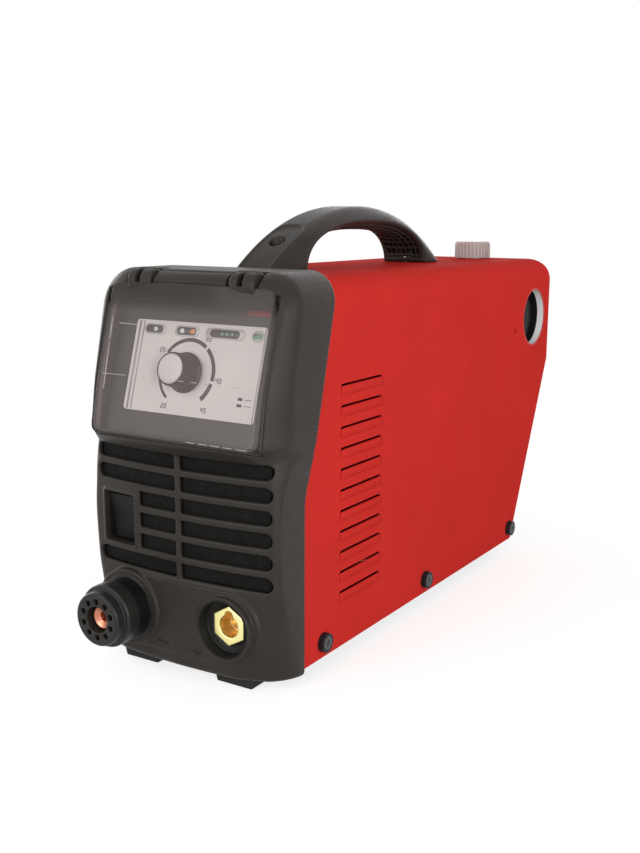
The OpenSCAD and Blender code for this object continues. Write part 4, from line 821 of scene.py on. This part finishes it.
# The dial's ring: radius, width at its start and growth to its end, and the angles that cut it
DIAL_R, DIAL_THIN, DIAL_GROWTH = 19.6, 1.7, 1.1
DIAL_CUTS = (235, 148, 52, -12, -50)
DIAL_GAP = 2.5
DIAL_NUMBERS = (("20", -19.5, 15.8), ("25", -27, 48.8), ("30", 5.5, 57.3), ("40", 17.4, 33.5), ("45", 9.8, 15.8))
DIGIT_PITCH = 2.4
RULES = ((-45.9, 1.6), (-42.6, 0.9), (46.6, 0.6))  # left edge and width
STRIPE = (31.8, 73.9, 47.8, 78)


def panel_print():
    """The dial, its numbers and the plain rules of the label"""
    shapes = []
    first, sweep = DIAL_CUTS[0], DIAL_CUTS[0] - DIAL_CUTS[-1]
    for start, end in zip(DIAL_CUTS, DIAL_CUTS[1:]):
        widths = [DIAL_THIN + DIAL_GROWTH * (first - a) / sweep for a in (start, end)]
        shapes.append(arc_band(KNOB_X, KNOB_U, DIAL_R, start - DIAL_GAP, end + DIAL_GAP, *widths))
    for text, x, u in DIAL_NUMBERS:
        for i, mark in enumerate(text):
            shapes += digit(mark, x + DIGIT_PITCH * i, u)
    for u in (25.2, 21.6):
        shapes += [strip(35, u, 38.2, u + 1.7), strip(40, u + 0.6, 44.6, u + 0.95)]
    rules = [strip(x, LABEL_FOOT + 0.6, x + w, LABEL_TOP - 0.8) for x, w in RULES]
    prints = (("dial_print", shapes, LABEL_DEPTH, ink), ("panel_rules", rules, LABEL_DEPTH, grey_ink),
              ("panel_stripe", [strip(*STRIPE)], PANEL_DEPTH, red_ink))
    for name, outlines, depth, finish in prints:
        piece = inlay(name, outlines, depth, PRINT_RISE, "chassis", finish)


def lamps():
    frames = [pill(x, LAMP_U, size, 6) for x, size, _ in LAMPS]
    pieces = [inlay("lamp_frames", frames, LABEL_DEPTH, 0.25, "chassis", label_film, "indicator_lamps")]
    bodies = [pill(x, LAMP_U, size, 4.6) for x, _, size in LAMPS[:3]]
    pieces.append(inlay("lamp_pills", bodies, LABEL_DEPTH, 0.6, "chassis", lamp_dark))
    for name, colour, spots in LENSES:
        shapes = [pill(x, LAMP_U, w, min(3.0, w * 0.95)) for x, w in spots]
        lens = moulded(name + "_lens", colour, 0.2, 0.01, 0.12)
        pieces.append(inlay(name, shapes, LABEL_DEPTH, 0.8, "chassis", lens))


# Turned pieces
def turned(name, profile, centre, axis, body, finish, steps, wave, *stands_for):
    """A profile of radius and height, turned about an axis; wave changes the radius by angle and height"""
    axis = np.asarray(axis, float) / np.linalg.norm(axis)
    side = np.cross(axis, (1, 0, 0))
    side /= np.linalg.norm(side)
    other = np.cross(axis, side)
    turns = np.linspace(0, 2 * math.pi, steps, endpoint=False)
    points = []
    for r, h in profile:
        for a in turns:
            reach = r + (wave(a, r, h) if wave else 0)
            points.append(np.asarray(centre) + h * axis + reach * (math.cos(a) * side + math.sin(a) * other))
    number = np.arange(len(points)).reshape(-1, steps)
    faces = quads(np.pad(number, ((0, 1), (0, 1)), mode="wrap"))
    piece = add_piece(name, to_frame(points), faces, body, finish, *stands_for)
    tidy = bmesh.new()
    tidy.from_mesh(piece.data)
    bmesh.ops.remove_doubles(tidy, verts=tidy.verts, dist=1e-6)
    tidy.to_mesh(piece.data)
    tidy.free()
    return piece


FLUTES = 18
KNOB_GRIP = ((3.2, 1.3), (11.6, 1.3), (12, 1.7), (12.1, 2.2), (11.9, 3), (11.3, 3.5), (10.7, 4.2), (10.5, 5.2),
             (10.25, 9), (10, 13), (9.9, 14.6), (9.7, 15.4), (9.4, 15.85), (9, 15.9), (8.9, 15.5), (8.9, 14.9),
             (3.2, 14.9))
KNOB_FACE = ((0, 16.6), (3, 16.58), (6, 16.5), (7.6, 16.3), (8.4, 16), (8.8, 15.6), (8.85, 15.2), (8.8, 14.8),
             (0, 14.8))


def flutes(a, r, h):
    """How far the knob's grip is cut in at an angle"""
    return -0.35 * max(0.0, math.cos(FLUTES * a)) ** 3 if 4 < h < 15.5 and r > 8.95 else 0.0


def control_knob():
    centre = hood_point(KNOB_X, PANEL_DEPTH, KNOB_U)
    out = (0, -COS, SIN)
    knob = turned("knob_grip", KNOB_GRIP, centre, out, "knob", knob_plastic, 216, flutes, "current_knob")
    cap = turned("knob_face", KNOB_FACE, centre, out, "knob", cap_plastic, 96, None, "knob_cap")


# Carry handle
ARCH_Y, ARCH_RADIUS, ARCH_REACH = 194, 190, 122
GRIP_EDGE_R = 10
HANDLE_HALF, _, HANDLE_TOP = node_box("carry_handle")[1]
HANDLE_SCREWS = (107.5, 284.5)
OPENING_Y, OPENING_HALF, OPENING_H, OPENING_CROWN, OPENING_POWER = 197.5, 81, 26.5, 6, 2.4
LATTICE, LATTICE_HALF, LATTICE_DEPTH, LATTICE_RIB = 4.2, 13.6, 2.4, 0.6
RECESS_FORM, RECESS_DEPTH = (10.5, 27, 9), 1.3
HEAD_R, SHANK_R = 5.5, 2.7


def carry_handle():
    step = 0.6
    lo = (-HANDLE_HALF - 2, ARCH_Y - ARCH_REACH, CASE_H - 3)
    x, y, z = space(lo, (HANDLE_HALF + 2, ARCH_Y + ARCH_REACH, HANDLE_TOP + 3), step)
    arch = np.hypot(y - ARCH_Y, z - HANDLE_TOP + ARCH_RADIUS) - ARCH_RADIUS
    d = both(both(arch, np.abs(x) - HANDLE_HALF, GRIP_EDGE_R), CASE_H - z, 0.8)
    rise = OPENING_H + OPENING_CROWN * (x / HANDLE_HALF) ** 2
    across = np.abs(y - OPENING_Y) / OPENING_HALF
    above = np.maximum(z - CASE_H + 1, 0) / rise
    reach = (across ** OPENING_POWER + above ** OPENING_POWER) ** (1 / OPENING_POWER)
    opening = (reach - 1) * np.minimum(rise, OPENING_HALF) * 0.9
    d = without(d, opening, 1.6)
    turn = np.arctan2(y - OPENING_Y, z - CASE_H + 30) * 55
    cells = meet(np.abs((x + 60) % LATTICE - LATTICE / 2), np.abs((turn + 600) % LATTICE - LATTICE / 2))
    pockets = meet(cells - LATTICE / 2 + LATTICE_RIB, np.abs(x) - LATTICE_HALF, opening - LATTICE_DEPTH)
    d = without(d, meet(pockets, CASE_H + 4 - z), 0.2)
    recess = bar(x, y - HANDLE_SCREWS[0] + 8, *RECESS_FORM)
    d = without(d, meet(recess, -arch - RECESS_DEPTH), 1.6)
    for at in HANDLE_SCREWS:
        bore = np.hypot(x, y - at)
        d = without(d, meet(bore - HEAD_R, CASE_H + 3 - z), 0.5)
        d = meet(d, SHANK_R - bore)
    handle = add_field("handle_arch", d, lo, step, "chassis", grip_finish(), 0.35, "carry_handle")


# Louvres pressed out of the cover under its side vents
VENT_COUNT, VENT_PITCH, VENT_Z, VENT_Y, VENT_LEN = 11, 12.9, 42.5, 75, 50
LOUVRE_RISE, LOUVRE_DROP, LOUVRE_T = 1.1, 5.2, 0.6


def side_louvres():
    points, faces = [], []
    along, across = 28, 9
    for side in (-1, 1):
        for i in range(VENT_COUNT):
            top = VENT_Z + i * VENT_PITCH + 0.2
            first = len(points)
            for a in np.linspace(-1, 1, along):
                for b in np.linspace(0, 1, across):
                    end = max(0.0, 1 - abs(a) ** 6)
                    rise = LOUVRE_RISE * end * (1 - (1 - min(1, (1 - b) * 1.15)) ** 2) * (1 if b > 0 else 0.15)
                    y = VENT_Y + VENT_LEN * (1 + a) / 2
                    points.append((side * (HALF_W + rise - 0.02), y, top - LOUVRE_DROP * b))
            sheet = quads(np.arange(first, len(points)).reshape(along, across))
            faces += list(sheet if side < 0 else sheet[:, ::-1])
    louvres = add_piece("side_louvres", to_frame(points), faces, "chassis", red_paint)
    bake(louvres, "SOLIDIFY", thickness=LOUVRE_T * MM, offset=-1)


# Bars of the minus and the plus, and the depths they lie between
MARKS = ((-13.4, 20.4, -4.2, 21.7), (13.7, 19.6, 19.9, 20.8), (16.2, 17.2, 17.4, 23.4))
MARK_DEPTHS = (-1.62, -1.0)


def polarity_marks():
    """Plus and minus moulded into the front beside the sockets"""
    points, faces = plates([strip(*m) for m in MARKS], MARK_DEPTHS, lambda x, z, y: (x, y + bow(x), z))
    marks = add_piece("polarity_marks", to_frame(points), faces, "chassis", black_and_pit_shade)


def finish_node(name, finish, edge):
    """Gives a node of the frame its material, and rounds its edges"""
    node = nodes[name]
    for place in node.material_slots:
        place.material = finish
    if edge:
        modify(node, "WELD", merge_threshold=SAME_POINT * MM)
        modify(node, "DECIMATE", decimate_type="DISSOLVE", angle_limit=math.radians(0.4))
        modify(node, "BEVEL", width=edge * MM, segments=2, limit_method="ANGLE", angle_limit=math.radians(35),
               harden_normals=True)
        modify(node, "WEIGHTED_NORMAL", weight=100)


# Studio: camera, lights and floor
CAMERA_AT = (0.39147, (FRONT_Y - 464.51) * MM, 0.2712)
CAMERA_YAW, CAMERA_PITCH, CAMERA_ROLL = (math.radians(a) for a in (32.12, 11.12, 0.28))
CAMERA_LENS = 45.38
# Name, place, aim, width and height in metres, watts
LIGHTS = (
    ("key", (-0.5, -1.75, 0.75), (0, 0, 0.14), (0.9, 0.9), 14),
    ("top", (0.1, 0.1, 1.6), (0, 0, 0.1), (1.4, 1.4), 1),
    ("side", (1.7, -0.4, 0.4), (0, 0, 0.12), (1.2, 1.2), 12.8),
    ("strip", (1.25, -1.25, 0.45), (0.05, -0.2, 0.16), (0.22, 0.6), 10.5),
    ("left", (-1.7, 0.2, 0.4), (0, 0, 0.12), (1.2, 1.2), 14),
    ("back", (-0.4, 1.7, 0.45), (0, 0, 0.12), (1.2, 1.0), 12),
)
WORLD_LIGHT, WORLD_SEEN = 0.32, 1.0  # strength as light, and where it is seen
FLOOR_HALF, FLOOR_GLOW, FLOOR_FADE = 1.2, 0.74, (0.45, 1.0)


def camera():
    data = bpy.data.cameras.new("camera")
    data.sensor_fit = "VERTICAL"
    data.sensor_height = data.sensor_width = 36
    data.lens = CAMERA_LENS
    data.clip_start = 0.01
    eye = add_object("camera", data)
    eye.location = CAMERA_AT
    turn = Matrix.Rotation(CAMERA_YAW, 4, "Z") @ Matrix.Rotation(math.pi / 2 - CAMERA_PITCH, 4, "X")
    eye.rotation_euler = (turn @ Matrix.Rotation(CAMERA_ROLL, 4, "Z")).to_euler()
    bpy.context.scene.camera = eye


def area_light(name, at, towards, size, watts):
    data = bpy.data.lights.new(name, "AREA")
    data.shape = "RECTANGLE"
    data.size, data.size_y = size
    data.energy = watts
    lamp = add_object(name, data)
    lamp.location = at
    lamp.rotation_euler = (Vector(towards) - Vector(at)).to_track_quat("-Z", "Y").to_euler()


def studio():
    for light in LIGHTS:
        area_light(*light)
    world = bpy.data.worlds.new("studio")
    world.use_nodes = True
    bpy.context.scene.world = world
    tree = world.node_tree
    strength = ranged(tree, seen_rays(tree), WORLD_LIGHT, WORLD_SEEN)
    fill(tree, tree.nodes["Background"], {"Color": (1, 1, 1, 1), "Strength": strength})
    bpy.context.scene.view_settings.view_transform = "Standard"


def seen_rays(tree):
    """1 for rays that show the background: straight, mirrored or through glass"""
    seen = add_node(tree, "ShaderNodeLightPath", "Is Camera Ray", {})
    rays = seen.node.outputs
    for kind in ("Is Glossy Ray", "Is Transmission Ray"):
        seen = add_node(tree, "ShaderNodeMath", "Value", {0: seen, 1: rays[kind]}, operation="MAXIMUM")
    return seen


def floor():
    """A pale sheet under the unit that takes its shadow and fades into the white round it"""
    mesh = bpy.data.meshes.new("floor")
    around = bmesh.new()
    bmesh.ops.create_grid(around, x_segments=8, y_segments=8, size=FLOOR_HALF)
    around.to_mesh(mesh)
    around.free()
    sheet = add_object("floor", mesh)
    paper = Finish("floor_paper", 0.9, Specular_IOR_Level=0.0)
    reach = paper.add("ShaderNodeVectorMath", "Value", {0: paper.place}, operation="LENGTH")
    paper.look(Base_Color=paper.ramp(paper.noise(3, 2), ((0.4, 0.4, 0.4), (0.42, 0.42, 0.42))),
               Emission_Color=(1, 1, 1, 1),
               Emission_Strength=ranged(paper.tree, seen_rays(paper.tree), 0, FLOOR_GLOW),
               Alpha=ranged(paper.tree, reach, 1, 0, *FLOOR_FADE, "SMOOTHSTEP"))
    mesh.materials.append(paper.material)


camera()
studio()
floor()


# Finishes of single pieces
# Painted shade on the cover: dark and opaque between these heights, along the hinge
BAND_FOOT, BAND_TOP = 214, 229  # heights between which the cover turns opaque
COVER_ALPHA, BAND_ALPHA = 0.085, 0.86
BAND_PLACES, BAND_TONES = (0, 0.1, 0.25, 0.5, 1), (0.59, 0.31, 0.18, 0.106, 0.06)
SIDE_SCREWS_Y, SIDE_SCREWS_Z = (-145.35, -9.35, 143.65), 18
# Radii on a side screw's head: a painted grey highlight inside the first, black beyond the second
HIGHLIGHT_R, BLACK_R = 3.6, 4.4  # of a screw's head
COLLAR_WHITE, COLLAR_RED = 6.2, 0.9  # depths at which the collar's colours start


def smoked_sheet():
    """Hazy clear plastic, painted dark and opaque along the hinge as shade of the hollow under the nose"""
    f = Finish("smoked_plastic", 0.12, Specular_IOR_Level=0.06)
    # Painted shade: the cover darkens and turns opaque towards the hinge
    band = f.along("Z", BAND_FOOT, BAND_TOP, "SMOOTHSTEP")
    tone = f.ramp(band, [(t, t * 0.86, t * 0.82) for t in BAND_TONES], BAND_PLACES)
    haze = f.mix(f.spread(f.noise(12, 2), 0, 0.06), tone, (0.2, 0.17, 0.16))
    alpha = ranged(f.tree, band, COVER_ALPHA, BAND_ALPHA)
    return f.look(Base_Color=haze, Roughness=f.spread(f.noise(30, 2), 0.1, 0.16), Alpha=alpha).material


def glint_finish():
    """Pale, half clear plastic of the cover's raised lines: a painted highlight along them"""
    f = Finish("cover_glint", 0.3, Alpha=0.5)
    return f.look(Base_Color=f.ramp(f.noise(90, 3), ((0.5, 0.46, 0.45), (0.75, 0.7, 0.68)))).material


def collar_finish():
    """Red rim, white at the window, black further in where the gauge sits"""
    f = Finish("collar_white", 0.3, Specular_IOR_Level=0.05)
    window, rim = (f.along("X", HALF_W - depth, HALF_W - depth + 0.2) for depth in (COLLAR_WHITE, COLLAR_RED))
    white = f.ramp(f.noise(40, 3), ((0.94, 0.94, 0.93), (0.97, 0.97, 0.96)))
    f.look(Base_Color=f.mix(rim, f.mix(window, (0.012, 0.012, 0.013), white), RED))
    return f.skin(f.spread(f.noise(300, 3), 0.25, 0.36), f.noise(2000, 2), 0.02)


def torch_finish():
    """Charcoal collar and face on a black base"""
    f = Finish("torch_plastic", 0.4, Specular_IOR_Level=0.24)
    collar = FRONT_Y + PAD_Y - TORCH_COLLAR
    front = f.ramp(f.noise(50, 4), ((0.0135, 0.0125, 0.011), (0.018, 0.0165, 0.0145)))
    f.look(Base_Color=f.mix(f.along("Y", collar, collar + 0.3), front, BLACK))
    return f.skin(f.spread(f.noise(300, 3), 0.34, 0.48), f.noise(2200, 2), 0.02)


def insert_finish():
    """Brass: bright and pale on the face, brown further down the bore"""
    f = Finish("insert_brass", 0.36, 1.0)
    face = HEX_Y + FRONT_Y
    pale = f.ramp(f.noise(60, 4), ((0.86, 0.78, 0.34), (0.95, 0.88, 0.42)))
    f.look(Base_Color=f.mix(f.along("Y", face + 1.2, face + 4.5), pale, (0.66, 0.45, 0.2)))
    marks = f.noise(90, 4, f.stretched((1, 1, 40)))
    return f.skin(f.spread(marks, 0.3, 0.46), marks, 0.015)


def screw_finish():
    """Black screws, with a painted grey highlight in the middle of the heads on the sides"""
    f = Finish("screw_black", 0.42, Specular_IOR_Level=0.1)
    flat = f.stretched((0, 1, 1))
    nearest = 1.0
    for y in SIDE_SCREWS_Y:
        points = {0: flat, 1: (0, y * MM, SIDE_SCREWS_Z * MM)}
        away = f.add("ShaderNodeVectorMath", "Value", points, operation="DISTANCE")
        nearest = f.add("ShaderNodeMath", "Value", {0: nearest, 1: away}, operation="MINIMUM")
    # Painted highlight: grey in the middle of each side screw's head
    head_highlight = f.ramp(f.noise(400, 3), ((0.085, 0.095, 0.09), (0.13, 0.142, 0.137)))
    black = f.ramp(f.noise(60, 4), ((0.017, 0.017, 0.018), (0.023, 0.023, 0.024)))
    f.look(Base_Color=f.mix(ranged(f.tree, nearest, 0, 1, HIGHLIGHT_R * MM, BLACK_R * MM), head_highlight, black))
    return f.skin(f.spread(f.noise(260, 3), 0.36, 0.48), f.noise(850, 2), 0.02)


def clear(name, colour, alpha):
    """Clear plastic or glass"""
    f = Finish(name, 0.06, Alpha=alpha)
    tone = f.ramp(f.noise(20, 3), shades(colour, 0.05))
    return f.look(Base_Color=tone, Roughness=f.spread(f.noise(300, 3), 0.03, 0.12)).material


label_film = moulded("label_film", (0.67, 0.617, 0.59), 0.4, 0.01, 0.03)
ink = moulded("ink", (0.06, 0.055, 0.055), 0.5, 0.01, 0.2)
grey_ink = moulded("grey_ink", (0.4, 0.37, 0.37), 0.5, 0.01, 0.1)
red_ink = moulded("red_ink", (0.5, 0.05, 0.06), 0.5, 0.01, 0.1)
lamp_dark = moulded("lamp_dark", (0.09, 0.09, 0.09), 0.3, 0.01, 0.15)
# Black of the rocker and the polarity marks; in the earth socket's cup it is painted shade
black_and_pit_shade = moulded("black_and_pit_shade", BLACK, 0.55)
knob_plastic = moulded("knob_plastic", (0.03, 0.026, 0.025), 0.42)
cap_plastic = moulded("cap_plastic", (0.62, 0.56, 0.545), 0.4, 0.03, 0.06)
panel_plastic = moulded("panel_plastic", (0.05, 0.046, 0.045), 0.5)
socket_plastic = moulded("socket_plastic", (0.012, 0.011, 0.01), 0.38, 0.04, 0.2)
copper = machined("copper", (0.55, 0.22, 0.14), 0.35)
# Near black: partly the foam's own colour, partly painted shade behind the grille
foam_and_shade = rubbery("filter_foam", (0.003, 0.003, 0.0026))

# Finishes of the frame's own nodes: material, rounding of the edges in millimetres, and nodes
FINISHES = (
    (red_paint, 0.4, "case_cover"),
    (painted("sheet_steel", (0.06, 0.06, 0.063), 0.45), 0.3, "base_tray rear_panel regulator_bracket"),
    (rubbery("foot_rubber", (0.028, 0.027, 0.026)), 0.8, "front_feet rear_feet"),
    (machined("plated_steel", (0.55, 0.55, 0.56), 0.32), 0.2,
     "handle_screws hinge_pins board_standoffs torch_nut earth_nut control_shaft adjusting_screw"),
    (painted("black_steel", (0.02, 0.02, 0.021), 0.42), 0.4, "fan_guard"),
    (screw_finish(), 0.4, "case_screws"),
    (panel_plastic, 0.3, "control_panel"),
    (label_film, 0.0, "panel_label"),
    (black_and_pit_shade, 0.4, "mains_rocker"),
    (socket_plastic, 0.4, "cable_gland gland_nut"),
    (machined("brass", (0.85, 0.78, 0.36), 0.36), 0.3, "torch_pins air_inlet solenoid_valve"),
    (moulded("board_mask", (0.03, 0.18, 0.07), 0.3, 0.03, 0.3), 0.0, "power_board control_board"),
    (moulded("component_plastic", (0.03, 0.03, 0.033), 0.5), 0.3,
     "power_modules potentiometer fan_frame fan_rotor regulator_bonnet"),
    (machined("aluminium", (0.7, 0.71, 0.73), 0.35), 0.2, "heat_sinks regulator_body"),
    (moulded("capacitor_sleeve", (0.04, 0.055, 0.16), 0.3, 0.01, 0.1), 0.4, "capacitors"),
    (moulded("ferrite", (0.05, 0.05, 0.055), 0.6, 0.08, 0.25), 0.4, "transformer_core"),
    (machined("winding", (0.55, 0.24, 0.1), 0.4, (1, 60, 1)), 0.4, "transformer_winding output_choke"),
    (rubbery("lead_rubber", (0.02, 0.02, 0.02)), 0.0, "earth_lead torch_lead"),
    (rubbery("hose_rubber", (0.03, 0.09, 0.28)), 0.0, "regulator_hose torch_hose"),
    (clear("bowl_clear", (0.75, 0.78, 0.8), 0.35), 0.3, "filter_bowl"),
    (moulded("knob_grey", (0.42, 0.36, 0.345), 0.45, 0.03, 0.06), 0.3, "regulator_knob"),
    (moulded("gauge_black", (0.02, 0.02, 0.022), 0.35, 0.02, 0.2), 0.3, "gauge_case gauge_dial"),
    (moulded("needle_white", (0.8, 0.8, 0.77), 0.4, 0.01, 0.05), 0.0, "gauge_needle"),
    (clear("lens_clear", (0.3, 0.32, 0.31), 0.08), 0.0, "gauge_lens"),
    (collar_finish(), 0.3, "gauge_collar"),
)
for finish, edge, names in FINISHES:
    for name in names.split():
        finish_node(name, finish, edge)

for make in (front_bezel, well_shade_sheet, filter_sheet, switch_case, torch_body, earth_pocket, flip_cover, cover_ridges,
             cover_ears, panel_print, lamps, control_knob, carry_handle, side_louvres, polarity_marks):
    make()
